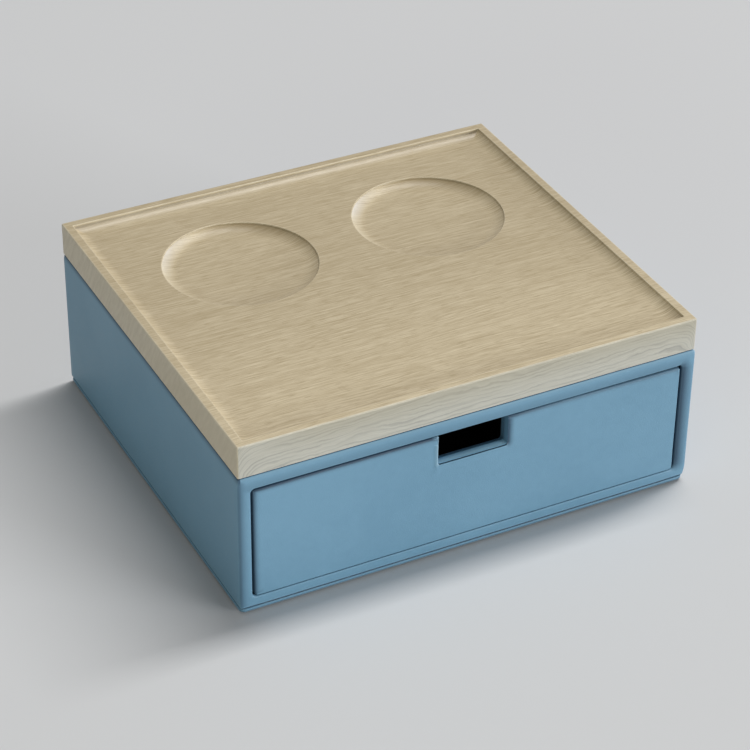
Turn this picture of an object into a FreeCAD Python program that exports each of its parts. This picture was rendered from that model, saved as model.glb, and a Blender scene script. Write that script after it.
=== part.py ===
import FreeCAD, Part
import math
import os
import re

import Sketcher

# Tea bag drawer box: a coved ash serving tray fixed on a leather-covered case that holds
# one full-width drawer with six compartments. Millimetres, +Z up, the drawer opens to -Y.
# The origin is the middle of the footprint, on the table.

SIZES = [
    ("box_width", 260.0, "case and tray, left to right"),
    ("box_depth", 231.5, "case and tray, front to back"),
    ("foot_height", 1.2, "rubber feet"),
    ("foot_radius", 6.0, "rubber feet"),
    ("foot_inset", 20.0, "foot centre from the edges of the box"),
    ("base_thickness", 1.9, "base plate under the case"),
    ("base_corner", 3.0, "base plate, corner radius in plan"),
    ("groove_edge", 0.6, "eased edges of the base plate and of the covering above it"),
    ("case_height", 81.9, "base plate to the underside of the tray"),
    ("leather_thickness", 0.9, "covering of the case"),
    ("corner_bend", 2.4, "outside bend of the covering at a corner, in leather thicknesses"),
    ("edge_bend", 1.6, "outside bend of the covering over an edge, in leather thicknesses"),
    ("base_groove", 0.7, "gap between the covering and the base plate"),
    ("turn_in", 16.0, "covering folded in under the tray"),
    ("lip_depth", 12.0, "covering folded back into the drawer opening"),
    ("frame_corner", 2.5, "drawer opening, corner radius"),
    ("side_board", 4.5, "case side boards"),
    ("top_board", 6.8, "case top board"),
    ("bottom_board", 5.5, "case bottom board"),
    ("back_board", 6.0, "case back board"),
    ("lining_thickness", 0.9, "lining of the drawer bay"),
    ("tray_thickness", 18.2, "tray board"),
    ("tray_corner", 1.2, "tray, upright corners"),
    ("tray_edge_round", 1.0, "tray, upper outside edge"),
    ("tray_chamfer", 0.5, "tray, lower outside edge"),
    ("rim_width", 5.0, "rim around the tray recess"),
    ("recess_depth", 4.0, "tray recess below the rim"),
    ("recess_step", 1.5, "upright part of the recess wall"),
    ("recess_cove", 6.5, "run of the cove from the wall to the recess floor"),
    ("cup_radius", 42.0, "round cup recess"),
    ("cup_spacing", 113.0, "between the two cup centres"),
    ("cup_from_front", 158.3, "cup centres from the front of the tray"),
    ("cup_depth", 3.5, "cup recess below the tray floor"),
    ("cup_step", 0.9, "upright part of the cup wall"),
    ("cup_cove", 8.5, "run of the cove from the cup wall to the cup floor"),
    ("screw_inset", 34.0, "tray screws from the edges of the box"),
    ("screw_reach", 8.0, "tray screws into the tray board"),
    ("screw_radius", 1.75, "tray screw shank"),
    ("head_radius", 3.5, "tray screw head"),
    ("head_height", 2.0, "tray screw head"),
    ("screw_clearance", 0.25, "shank to its hole in the top board"),
    ("screw_tip", 1.5, "pointed end of the tray screw"),
    ("gap_side", 1.5, "drawer to the opening, left and right"),
    ("gap_top", 1.2, "drawer front to the opening, above"),
    ("gap_bottom", 0.3, "drawer to the opening, below"),
    ("gap_back", 4.0, "drawer box to the lining behind it"),
    ("front_setback", 1.1, "drawer front behind the front of the case"),
    ("front_leather", 0.8, "covering of the drawer front"),
    ("front_bend", 1.8, "outside bend of the front's covering, in leather thicknesses"),
    ("front_board", 4.2, "drawer front board"),
    ("front_corner", 1.8, "drawer front, corner radius"),
    ("box_setback", 0.4, "drawer box narrower than its front, each side"),
    ("wall_thickness", 3.0, "drawer box walls"),
    ("floor_thickness", 3.0, "drawer box bottom board"),
    ("wall_headroom", 4.6, "drawer box walls below the top of the opening"),
    ("notch_width", 41.0, "finger notch, clear"),
    ("notch_depth", 18.6, "finger notch below the top of the drawer front, clear"),
    ("notch_corner", 1.5, "finger notch, lower corners"),
    ("notch_edge_round", 0.5, "covering around the finger notch"),
    ("trim_thickness", 0.6, "strips that line the finger notch"),
    ("trim_seam", 0.4, "seam between the front's covering and the strip, and between the strips"),
    ("trim_step", 0.5, "inner strip behind the outer strip, all round"),
    ("floor_lining", 0.6, "lining on the drawer floor"),
    ("divider_thickness", 2.5, "dividers"),
    ("divider_drop", 10.4, "dividers below the drawer box walls"),
    ("divider_play", 0.3, "dividers to the walls and in their slots"),
    ("divider_spacing", 80.4, "between the middles of the two long dividers"),
]

# Places that follow from the sizes, written in the sheet's aliases.
CASE_BASE = "(foot_height + base_thickness)"
SEAM = "(%s + case_height)" % CASE_BASE
FRONT = "(-box_depth / 2)"
BOARD_FRONT = "(%s + leather_thickness)" % FRONT
BOARDS_WIDTH = "(box_width - 2 * leather_thickness)"
BOARDS_DEPTH = "(box_depth - 2 * leather_thickness)"
BAY_WIDTH = "(%s - 2 * side_board)" % BOARDS_WIDTH
BAY_BOTTOM = "(%s + bottom_board)" % CASE_BASE
BAY_TOP = "(%s - leather_thickness - top_board)" % SEAM
BAY_HEIGHT = "(%s - %s)" % (BAY_TOP, BAY_BOTTOM)
BAY_BACK = "(box_depth / 2 - leather_thickness - back_board)"
OPENING_WIDTH = "(%s - 2 * lining_thickness)" % BAY_WIDTH
OPENING_BOTTOM = "(%s + lining_thickness)" % BAY_BOTTOM
OPENING_HEIGHT = "(%s - 2 * lining_thickness)" % BAY_HEIGHT
LINING_FRONT = "(%s + lip_depth)" % BOARD_FRONT

DRAWER_WIDTH = "(%s - 2 * gap_side)" % OPENING_WIDTH
DRAWER_BOTTOM = "(%s + gap_bottom)" % OPENING_BOTTOM
FRONT_HEIGHT = "(%s - gap_bottom - gap_top)" % OPENING_HEIGHT
FRONT_FACE = "(%s + front_setback)" % FRONT
FRONT_BOARD_FACE = "(%s + front_leather)" % FRONT_FACE
INNER_FRONT_FACE = "(%s + front_board)" % FRONT_BOARD_FACE
DRAWER_INSIDE_FRONT = "(%s + wall_thickness)" % INNER_FRONT_FACE
DRAWER_BACK = "(%s - lining_thickness - gap_back)" % BAY_BACK
DRAWER_INSIDE_BACK = "(%s - wall_thickness)" % DRAWER_BACK
INSIDE_DEPTH = "(%s - %s)" % (DRAWER_INSIDE_BACK, DRAWER_INSIDE_FRONT)
INSIDE_MIDDLE = "((%s + %s) / 2)" % (DRAWER_INSIDE_FRONT, DRAWER_INSIDE_BACK)
BOX_WIDTH = "(%s - 2 * box_setback)" % DRAWER_WIDTH
INSIDE_WIDTH = "(%s - 2 * wall_thickness)" % BOX_WIDTH
WALL_HEIGHT = "(%s - gap_bottom - wall_headroom)" % OPENING_HEIGHT
DRAWER_FLOOR = "(%s + floor_thickness + floor_lining)" % DRAWER_BOTTOM
DIVIDER_HEIGHT = "(%s - floor_thickness - floor_lining - divider_drop)" % WALL_HEIGHT
NOTCH_BOTTOM = "(%s + %s - notch_depth)" % (DRAWER_BOTTOM, FRONT_HEIGHT)

OUT = "parts"
BEYOND = "2"             # how far a cut runs on past the face it opens
TOUCH = 1e-4             # places closer than this are the same place
SKETCH_ORIGIN = (-1, 1)  # a sketch's own origin point, in the numbers its constraints take
SKETCH_AXES = (-1, -2)   # and its level and upright axes

document = FreeCAD.newDocument("TeaBagDrawerBox")
sheet = document.addObject("Spreadsheet::Sheet", "Sizes")
for row, (alias, size, note) in enumerate(SIZES, start=1):
    sheet.set("A%d" % row, str(size))
    sheet.set("B%d" % row, note)
    sheet.setAlias("A%d" % row, alias)
document.recompute()
ALIASES = {alias for alias, _size, _note in SIZES}


def bound(text):
    """The expression with every alias reached through the sheet."""
    return re.sub("[a-z_]+", lambda word: ("Sizes." if word[0] in ALIASES else "") + word[0], text)


def value(text):
    """The number an expression stands for, which places a sketch near its solved shape."""
    return float(sheet.evalExpression(text))


def bind(thing, path, text):
    thing.setExpression(path, bound(text))


def place(thing, x="0", y="0", z="0"):
    """Bind the placement of a sub-part to expressions."""
    for axis, text in (("x", x), ("y", y), ("z", z)):
        bind(thing, ".Placement.Base." + axis, text)


def new_body(label, x="0", y="0", z="0"):
    body = document.addObject("PartDesign::Body", label)
    body.Label = label
    place(body, x, y, z)
    return body


def new_sketch(body, plane, shift=("0", "0", "0")):
    """A sketch on one of the body's own origin planes, shifted along the sketch's axes."""
    sketch = body.newObject("Sketcher::SketchObject", body.Name + "_sketch")
    role = [part for part in body.Origin.OriginFeatures if part.Role == plane + "_Plane"]
    sketch.AttachmentSupport = [(role[0], "")]
    sketch.MapMode = "FlatFace"
    for axis, text in zip("xyz", shift):
        bind(sketch, ".AttachmentOffset.Base." + axis, text)
    return sketch


def constrain(sketch, name, text, kind, *where):
    """A named driving dimension bound to an expression."""
    index = sketch.addConstraint(Sketcher.Constraint(kind, *where, value(text)))
    sketch.renameConstraint(index, name)
    bind(sketch, "Constraints." + name, text)


def draw_rectangle(sketch, width, height, tag=""):
    """A rectangle centred on the sketch's origin."""
    half_width, half_height = value(width) / 2, value(height) / 2
    corners = [(-half_width, -half_height), (half_width, -half_height),
               (half_width, half_height), (-half_width, half_height)]
    lines = draw_loop(sketch, corners)
    for line, direction in zip(lines, ("Horizontal", "Vertical", "Horizontal", "Vertical")):
        sketch.addConstraint(Sketcher.Constraint(direction, line))
    sketch.addConstraint(Sketcher.Constraint("Symmetric", lines[0], 1, lines[2], 1, *SKETCH_ORIGIN))
    constrain(sketch, "width" + tag, width, "DistanceX", lines[0], 1, lines[0], 2)
    constrain(sketch, "height" + tag, height, "DistanceY", lines[1], 1, lines[1], 2)
    return lines


def draw_loop(sketch, corners):
    """Straight lines through the corners, joined end to end and closed."""
    lines = []
    for start, end in zip(corners, corners[1:] + corners[:1]):
        segment = Part.LineSegment(FreeCAD.Vector(*start), FreeCAD.Vector(*end))
        lines.append(sketch.addGeometry(segment, False))
    for line, following in zip(lines, lines[1:] + lines[:1]):
        sketch.addConstraint(Sketcher.Constraint("Coincident", line, 2, following, 1))
    return lines


def pad(body, sketch, length, backwards=False):
    feature = body.newObject("PartDesign::Pad", body.Name + "_pad")
    feature.Profile = sketch
    feature.Reversed = backwards
    bind(feature, "Length", length)
    return settle(body, feature, sketch)


def pocket(body, sketch, length=None, backwards=False):
    """A pocket of one depth, or through everything when no depth is given."""
    feature = body.newObject("PartDesign::Pocket", body.Name + "_pocket")
    feature.Profile = sketch
    feature.Reversed = backwards
    if length is None:
        feature.Type = "ThroughAll"
    else:
        bind(feature, "Length", length)
    return settle(body, feature, sketch)


def settle(body, feature, sketch=None):
    """Recompute, make the feature the body's tip and hide its sketch."""
    body.Tip = feature
    if sketch is not None:
        sketch.Visibility = False
    document.recompute()
    return feature


def dress(body, kind, size, chosen):
    """A fillet or chamfer on every edge of the tip that the test picks."""
    base = body.Tip
    edges = ["Edge%d" % n for n, edge in enumerate(base.Shape.Edges, start=1) if chosen(edge)]
    if not edges:
        raise ValueError("no edge of %s takes its %s" % (body.Label, kind))
    feature = body.newObject("PartDesign::" + kind, body.Name + "_" + kind.lower())
    feature.Base = (base, edges)
    bind(feature, "Radius" if kind == "Fillet" else "Size", size)
    return settle(body, feature)


def runs_along(edge, axis):
    """True for a straight edge that is parallel to an axis."""
    start, end = edge.Vertexes[0].Point, edge.Vertexes[-1].Point
    across = [abs(a - b) for n, (a, b) in enumerate(zip(start, end)) if n != axis]
    return isinstance(edge.Curve, Part.Line) and max(across) < TOUCH


def lies_at(edge, axis, place_on_axis):
    """True when the whole edge lies in a plane square to an axis."""
    box = edge.BoundBox
    low, high = ((box.XMin, box.XMax), (box.YMin, box.YMax), (box.ZMin, box.ZMax))[axis]
    return abs(low - place_on_axis) < TOUCH and abs(high - place_on_axis) < TOUCH


def on_outline(edge):
    """True for an edge of the box's outline in plan, not of the hollow inside it."""
    box = edge.BoundBox
    reach_x = max(-box.XMin, box.XMax) > value(BOARDS_WIDTH) / 2 + TOUCH
    reach_y = max(-box.YMin, box.YMax) > value(BOARDS_DEPTH) / 2 + TOUCH
    return reach_x or reach_y


def board(label, width, depth, height, x="0", y="0", z="0"):
    """A square-edged board, centred in plan on its placement and standing on it."""
    body = new_body(label, x, y, z)
    sketch = new_sketch(body, "XY")
    draw_rectangle(sketch, width, depth)
    pad(body, sketch, height)
    return body


def group(label, members):
    """Several separate solids that share one node."""
    compound = document.addObject("Part::Compound", label)
    compound.Label = label
    compound.Links = members
    document.recompute()
    return compound


def corner_places(inset):
    """The four places at one inset from the edges of the box."""
    x, y = "(box_width / 2 - %s)" % inset, "(box_depth / 2 - %s)" % inset
    return [(sign_x + x, sign_y + y) for sign_y in ("-", "") for sign_x in ("-", "")]


def draw_cove(sketch, half_width, cove, depth, step):
    """Half of a recess in section: an upright wall, an arc that meets the floor level, the floor."""
    wall, edge = value(half_width), value(half_width) - value(cove)
    floor_level, ledge, high = -value(depth), -value(step), value(BEYOND)
    rise = ledge - floor_level
    radius = (value(cove) ** 2 + rise ** 2) / (2 * rise)
    half_swing = math.atan(rise / value(cove))
    middle = FreeCAD.Vector(edge + radius * math.sin(half_swing),
                            floor_level + radius * (1 - math.cos(half_swing)))
    corners = [FreeCAD.Vector(*point) for point in
               ((0, high), (0, floor_level), (edge, floor_level), (wall, ledge), (wall, high))]
    axis = sketch.addGeometry(Part.LineSegment(corners[0], corners[1]), False)
    floor = sketch.addGeometry(Part.LineSegment(corners[1], corners[2]), False)
    arc = sketch.addGeometry(Part.Arc(corners[2], middle, corners[3]), False)
    wall_line = sketch.addGeometry(Part.LineSegment(corners[3], corners[4]), False)
    top = sketch.addGeometry(Part.LineSegment(corners[4], corners[0]), False)
    middle_line = SKETCH_AXES[1]
    for rule in (("Coincident", axis, 2, floor, 1), ("Tangent", floor, 2, arc, 1),
                 ("Coincident", arc, 2, wall_line, 1), ("Coincident", wall_line, 2, top, 1),
                 ("Coincident", top, 2, axis, 1), ("PointOnObject", axis, 1, middle_line),
                 ("PointOnObject", axis, 2, middle_line), ("Horizontal", floor),
                 ("Vertical", wall_line), ("Horizontal", top)):
        sketch.addConstraint(Sketcher.Constraint(*rule))
    constrain(sketch, "half_width", half_width, "DistanceX", *SKETCH_ORIGIN, wall_line, 2)
    constrain(sketch, "cove", cove, "DistanceX", arc, 1, arc, 2)
    constrain(sketch, "floor_depth", depth, "DistanceY", axis, 2, *SKETCH_ORIGIN)
    constrain(sketch, "wall_step", step, "DistanceY", arc, 2, *SKETCH_ORIGIN)
    constrain(sketch, "clear", BEYOND, "DistanceY", *SKETCH_ORIGIN, wall_line, 2)


def draw_circles(sketch, radius, centres):
    """Equal circles at bound places."""
    for number, (x, y) in enumerate(centres):
        middle = FreeCAD.Vector(value(x), value(y))
        circle = sketch.addGeometry(Part.Circle(middle, FreeCAD.Vector(0, 0, 1), value(radius)))
        constrain(sketch, "radius%d" % number, radius, "Radius", circle)
        constrain(sketch, "x%d" % number, x, "DistanceX", *SKETCH_ORIGIN, circle, 3)
        constrain(sketch, "y%d" % number, y, "DistanceY", *SKETCH_ORIGIN, circle, 3)


def mirror(body, feature, plane="YZ"):
    """The same feature on the other side of one of the body's origin planes."""
    role = [part for part in body.Origin.OriginFeatures if part.Role == plane + "_Plane"]
    copy = body.newObject("PartDesign::Mirrored", body.Name + "_mirrored")
    copy.Originals = [feature]
    copy.MirrorPlane = (role[0], [""])
    return settle(body, copy)


def upright(edge):
    return runs_along(edge, 2)


# ---- tray ----

def recess_bar(label, plane, width, run):
    """A bar with the tray recess's section; two crossed bars have the mitred recess in common."""
    body = new_body(label, z="%s + tray_thickness" % SEAM)
    half_width = "(%s / 2 - rim_width)" % width
    sketch = new_sketch(body, plane)
    draw_cove(sketch, half_width, "recess_cove", "recess_depth", "recess_step")
    bar = body.newObject("PartDesign::Pad", label + "_pad")
    bar.Profile = sketch
    bar.SideType = "Symmetric"
    bind(bar, "Length", run)
    settle(body, bar, sketch)
    mirror(body, bar, "YZ" if plane == "XZ" else "XZ")
    return body


def make_tray():
    blank = board("tray_blank", "box_width", "box_depth", "tray_thickness", z=SEAM)
    dress(blank, "Fillet", "tray_corner", upright)
    top, bottom = value("tray_thickness"), 0.0
    dress(blank, "Fillet", "tray_edge_round", lambda edge: lies_at(edge, 2, top))
    dress(blank, "Chamfer", "tray_chamfer", lambda edge: lies_at(edge, 2, bottom))

    cup_shift = ("cup_spacing / 2", "tray_thickness - recess_depth", "box_depth / 2 - cup_from_front")
    sketch = new_sketch(blank, "XZ", cup_shift)
    draw_cove(sketch, "cup_radius", "cup_cove", "cup_depth", "cup_step")
    cup = blank.newObject("PartDesign::Groove", "cup_recess")
    cup.Profile = sketch
    cup.ReferenceAxis = (sketch, ["V_Axis"])
    cup.Angle = 360
    settle(blank, cup, sketch)
    mirror(blank, cup)

    sketch = new_sketch(blank, "XY")
    draw_circles(sketch, "screw_radius", corner_places("screw_inset"))
    pocket(blank, sketch, "screw_reach", backwards=True)

    across = recess_bar("recess_across", "XZ", "box_width", "box_depth")
    along = recess_bar("recess_along", "YZ", "box_depth", "box_width")
    recess = document.addObject("Part::Common", "recess")
    recess.Base = across
    recess.Tool = along
    tray = document.addObject("Part::Cut", "tray_top")
    tray.Base = blank
    tray.Tool = recess
    document.recompute()
    return tray


def make_tray_screws():
    screws = []
    for number, (x, y) in enumerate(corner_places("screw_inset")):
        body = new_body("tray_screw_%d" % number, x, y, "%s + head_height" % BAY_TOP)
        sketch = new_sketch(body, "XY")
        draw_circles(sketch, "head_radius", [("0", "0")])
        pad(body, sketch, "head_height", backwards=True)
        low = -value("head_height")
        dress(body, "Chamfer", "head_height / 4", lambda edge: lies_at(edge, 2, low))
        sketch = new_sketch(body, "XY")
        draw_circles(sketch, "screw_radius", [("0", "0")])
        shank = "(top_board - head_height + leather_thickness + screw_reach)"
        pad(body, sketch, shank)
        tip = value(shank)
        dress(body, "Chamfer", "screw_tip", lambda edge: lies_at(edge, 2, tip))
        screws.append(body)
    return group("tray_screws", screws)


# ---- case ----

def make_case_boards():
    side_height = "(case_height - leather_thickness)"
    round_radius = "leather_thickness * (corner_bend - 1)"
    side_x = "(%s - side_board) / 2" % BOARDS_WIDTH
    sides = []
    for label, sign in (("case_left_board", -1), ("case_right_board", 1)):
        x = "%d * %s" % (sign, side_x)
        side = board(label, "side_board", BOARDS_DEPTH, side_height, x=x, z=CASE_BASE)
        outside = sign * value("side_board") / 2
        dress(side, "Fillet", round_radius,
              lambda edge: upright(edge) and lies_at(edge, 0, outside))
        sides.append(side)

    top = board("case_top_board", BAY_WIDTH, BOARDS_DEPTH, "top_board", z=BAY_TOP)
    sketch = new_sketch(top, "XY")
    draw_circles(sketch, "screw_radius + screw_clearance", corner_places("screw_inset"))
    pocket(top, sketch, backwards=True)
    sketch = new_sketch(top, "XY")
    draw_circles(sketch, "head_radius + screw_clearance", corner_places("screw_inset"))
    pocket(top, sketch, "head_height", backwards=True)

    bottom = board("case_bottom_board", BAY_WIDTH, BOARDS_DEPTH, "bottom_board", z=CASE_BASE)
    back_y = "(%s + back_board / 2)" % BAY_BACK
    back = board("case_back_board", BAY_WIDTH, "back_board", BAY_HEIGHT, y=back_y, z=BAY_BOTTOM)
    return sides + [top, bottom, back]


def make_case_leather():
    """One skin round the boards, turned in under the tray and back into the drawer opening."""
    foot = "(%s + base_groove)" % CASE_BASE
    height = "(case_height - base_groove)"
    skin = board("case_leather", "box_width", "box_depth", height, z=foot)
    dress(skin, "Fillet", "leather_thickness * corner_bend", upright)
    sketch = new_sketch(skin, "XY")
    draw_rectangle(sketch, BOARDS_WIDTH, BOARDS_DEPTH)
    pocket(skin, sketch, "%s - leather_thickness" % height, backwards=True)
    board_x = value(BOARDS_WIDTH) / 2
    dress(skin, "Fillet", "leather_thickness * (corner_bend - 1)",
          lambda edge: upright(edge) and abs(abs(edge.BoundBox.XMax) - board_x) < TOUCH)
    top = value(height)
    dress(skin, "Fillet", "leather_thickness * edge_bend", lambda edge: lies_at(edge, 2, top))
    dress(skin, "Chamfer", "groove_edge",
          lambda edge: lies_at(edge, 2, 0.0) and on_outline(edge))

    sketch = new_sketch(skin, "XY", ("0", "0", height))
    draw_rectangle(sketch, "box_width - 2 * turn_in", "box_depth - 2 * turn_in")
    pocket(skin, sketch, "2 * leather_thickness")

    opening_middle = "(%s + %s / 2 - %s)" % (OPENING_BOTTOM, OPENING_HEIGHT, foot)
    sketch = new_sketch(skin, "XZ", ("0", opening_middle, "-" + FRONT))
    draw_rectangle(sketch, OPENING_WIDTH, OPENING_HEIGHT)
    pocket(skin, sketch, "2 * leather_thickness")

    sketch = new_sketch(skin, "XZ", ("0", opening_middle, "-" + BOARD_FRONT))
    draw_rectangle(sketch, BAY_WIDTH, BAY_HEIGHT, "_outside")
    draw_rectangle(sketch, OPENING_WIDTH, OPENING_HEIGHT, "_inside")
    pad(skin, sketch, "lip_depth", backwards=True)

    inside_x = value(OPENING_WIDTH) / 2
    dress(skin, "Fillet", "frame_corner",
          lambda edge: runs_along(edge, 1) and abs(abs(edge.BoundBox.XMax) - inside_x) < TOUCH)
    front = value(FRONT)
    dress(skin, "Fillet", "leather_thickness * edge_bend",
          lambda edge: lies_at(edge, 1, front) and max(-edge.BoundBox.XMin, edge.BoundBox.XMax)
          < inside_x + TOUCH)
    return skin


def make_bay_lining():
    depth = "(%s - %s)" % (BAY_BACK, LINING_FRONT)
    middle = "(%s + %s) / 2" % (BAY_BACK, LINING_FRONT)
    lining = board("bay_lining", BAY_WIDTH, depth, BAY_HEIGHT, y=middle, z=BAY_BOTTOM)
    sketch = new_sketch(lining, "XZ", ("0", "%s / 2" % BAY_HEIGHT, "%s / 2" % depth))
    draw_rectangle(sketch, OPENING_WIDTH, OPENING_HEIGHT)
    pocket(lining, sketch, "%s - lining_thickness" % depth)
    return lining


def make_base():
    plate = board("base_plate", "box_width", "box_depth", "base_thickness", z="foot_height")
    dress(plate, "Fillet", "base_corner", upright)
    dress(plate, "Chamfer", "groove_edge", lambda edge: not upright(edge))
    feet = []
    for number, (x, y) in enumerate(corner_places("foot_inset")):
        body = new_body("foot_%d" % number, x, y)
        sketch = new_sketch(body, "XY")
        draw_circles(sketch, "foot_radius", [("0", "0")])
        pad(body, sketch, "foot_height")
        dress(body, "Chamfer", "foot_height / 4", lambda edge: lies_at(edge, 2, 0.0))
        feet.append(body)
    return [plate, group("rubber_feet", feet)]


# ---- drawer ----

def cut_notch(body, width, bottom, corner):
    """An opening down from the top edge, with rounded lower corners; bottom is from the body."""
    height = "(notch_depth + %s)" % BEYOND
    sketch = new_sketch(body, "XZ", ("0", "%s + %s / 2" % (bottom, height), "box_depth"))
    draw_rectangle(sketch, width, height)
    pocket(body, sketch, "2 * box_depth")
    half, low = value(width) / 2, value(bottom)
    dress(body, "Fillet", corner, lambda edge: runs_along(edge, 1)
          and abs(abs(edge.BoundBox.XMax) - half) < TOUCH and abs(edge.BoundBox.ZMax - low) < TOUCH)


def panel(label, width, height, thickness, face, z):
    """An upright panel whose front face lies at a bound depth."""
    body = new_body(label, y=face, z=z)
    sketch = new_sketch(body, "XZ", ("0", "%s / 2" % height, "0"))
    draw_rectangle(sketch, width, height)
    pad(body, sketch, thickness, backwards=True)
    return body


def make_front_board():
    foot = "(%s + front_leather)" % DRAWER_BOTTOM
    body = panel("drawer_front_board", "%s - 2 * front_leather" % DRAWER_WIDTH,
                 "(%s - 2 * front_leather)" % FRONT_HEIGHT, "front_board", FRONT_BOARD_FACE, foot)
    cut_notch(body, "notch_width + 2 * trim_thickness",
              "(%s - trim_thickness - %s)" % (NOTCH_BOTTOM, foot), "notch_corner + trim_thickness")
    return body


def make_front_leather():
    """The skin over the drawer front and its four edges, open at the finger notch."""
    skin = panel("drawer_front_leather", DRAWER_WIDTH, FRONT_HEIGHT,
                 "front_leather + front_board", FRONT_FACE, DRAWER_BOTTOM)
    dress(skin, "Fillet", "front_corner", lambda edge: runs_along(edge, 1))
    dress(skin, "Fillet", "front_leather * front_bend", lambda edge: lies_at(edge, 1, 0.0))
    sketch = new_sketch(skin, "XZ", ("0", "%s / 2" % FRONT_HEIGHT, "-front_leather - front_board"))
    draw_rectangle(sketch, "%s - 2 * front_leather" % DRAWER_WIDTH,
                   "%s - 2 * front_leather" % FRONT_HEIGHT)
    pocket(skin, sketch, "front_board", backwards=True)
    bottom = "(%s - %s)" % (NOTCH_BOTTOM, DRAWER_BOTTOM)
    cut_notch(skin, "notch_width", bottom, "notch_corner")
    half, low, high = value("notch_width") / 2, value(bottom), value(FRONT_HEIGHT)
    lip = high - value("front_leather * front_bend")
    dress(skin, "Fillet", "notch_edge_round", lambda edge: lies_at(edge, 1, 0.0)
          and abs(edge.CenterOfMass.x) < half + TOUCH and low - TOUCH < edge.CenterOfMass.z < lip)
    return skin


def notch_strip(label, clear_width, clear_bottom, corner, face, thickness, top):
    """A strip folded round the three sides of the finger notch."""
    foot = "(%s - trim_thickness)" % clear_bottom
    strip = panel(label, "%s + 2 * trim_thickness" % clear_width, "(%s - %s)" % (top, foot),
                  thickness, face, foot)
    cut_notch(strip, clear_width, "trim_thickness", corner)
    dress(strip, "Fillet", "%s + trim_thickness" % corner,
          lambda edge: runs_along(edge, 1) and abs(edge.BoundBox.ZMax) < TOUCH)
    return strip


def make_notch_trims():
    outer = notch_strip("notch_trim", "notch_width", NOTCH_BOTTOM, "notch_corner",
                        "(%s + trim_seam)" % FRONT_BOARD_FACE,
                        "front_board - 1.5 * trim_seam",
                        "(%s + %s - front_leather)" % (DRAWER_BOTTOM, FRONT_HEIGHT))
    inner = notch_strip("inner_notch_trim", "(notch_width + 2 * trim_step)",
                        "(%s - trim_step)" % NOTCH_BOTTOM, "(notch_corner + trim_step)",
                        "(%s + trim_seam / 2)" % INNER_FRONT_FACE,
                        "wall_thickness - trim_seam / 2",
                        "(%s + %s)" % (DRAWER_BOTTOM, WALL_HEIGHT))
    return [outer, inner]


def make_drawer_box():
    front = panel("drawer_inner_front", BOX_WIDTH, WALL_HEIGHT, "wall_thickness",
                  INNER_FRONT_FACE, DRAWER_BOTTOM)
    cut_notch(front, "notch_width + 2 * trim_step + 2 * trim_thickness",
              "(%s - trim_step - trim_thickness - %s)" % (NOTCH_BOTTOM, DRAWER_BOTTOM),
              "notch_corner + trim_step + trim_thickness")
    side_x = "(%s - wall_thickness) / 2" % BOX_WIDTH
    pieces = [front]
    for label, sign in (("drawer_left_side", "-"), ("drawer_right_side", "")):
        pieces.append(board(label, "wall_thickness", INSIDE_DEPTH, WALL_HEIGHT,
                            x=sign + side_x, y=INSIDE_MIDDLE, z=DRAWER_BOTTOM))
    back_y = "(%s + wall_thickness / 2)" % DRAWER_INSIDE_BACK
    pieces.append(board("drawer_back", BOX_WIDTH, "wall_thickness", WALL_HEIGHT,
                        y=back_y, z=DRAWER_BOTTOM))
    pieces.append(board("drawer_bottom", INSIDE_WIDTH, INSIDE_DEPTH, "floor_thickness",
                        y=INSIDE_MIDDLE, z=DRAWER_BOTTOM))
    pieces.append(board("drawer_floor_lining", INSIDE_WIDTH, INSIDE_DEPTH, "floor_lining",
                        y=INSIDE_MIDDLE, z="%s + floor_thickness" % DRAWER_BOTTOM))
    return pieces


def make_dividers():
    """One divider across the drawer and two along it, halved into each other."""
    play = "(divider_thickness + divider_play)"
    across = board("divider_across", "%s - 2 * divider_play" % INSIDE_WIDTH, "divider_thickness",
                   DIVIDER_HEIGHT, y=INSIDE_MIDDLE, z=DRAWER_FLOOR)
    for sign in ("-", ""):
        sketch = new_sketch(across, "XY", (sign + "divider_spacing / 2", "0", "0"))
        draw_rectangle(sketch, play, "2 * divider_thickness")
        pocket(across, sketch, "%s / 2" % DIVIDER_HEIGHT, backwards=True)
    pieces = [across]
    for label, sign in (("divider_left", "-"), ("divider_right", "")):
        long_divider = board(label, "divider_thickness", "%s - 2 * divider_play" % INSIDE_DEPTH,
                             DIVIDER_HEIGHT, x=sign + "divider_spacing / 2",
                             y=INSIDE_MIDDLE, z=DRAWER_FLOOR)
        sketch = new_sketch(long_divider, "XY", ("0", "0", DIVIDER_HEIGHT))
        draw_rectangle(sketch, "2 * divider_thickness", play)
        pocket(long_divider, sketch, "%s / 2" % DIVIDER_HEIGHT)
        pieces.append(long_divider)
    return pieces


pieces = [make_tray(), make_tray_screws()]
pieces += make_case_boards() + [make_case_leather(), make_bay_lining()] + make_base()
pieces += [make_front_board(), make_front_leather()] + make_notch_trims()
pieces += make_drawer_box() + make_dividers()

document.recompute()
for thing in document.Objects:
    if "Invalid" in thing.State or "Error" in thing.State:
        raise ValueError("%s: %s" % (thing.Label, thing.State))

os.makedirs(OUT, exist_ok=True)
for piece in pieces:
    if piece.Shape.isNull() or not piece.Shape.isValid():
        raise ValueError("%s has no valid shape" % piece.Label)
    piece.Shape.exportStep(os.path.join(OUT, piece.Label + ".step"))
    print("%-22s %2d solid(s) %10.1f mm3" % (piece.Label, len(piece.Shape.Solids),
                                             piece.Shape.Volume))
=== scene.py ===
import math

import bmesh
import bpy
from mathutils import Matrix, Vector, geometry, kdtree, noise


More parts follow.
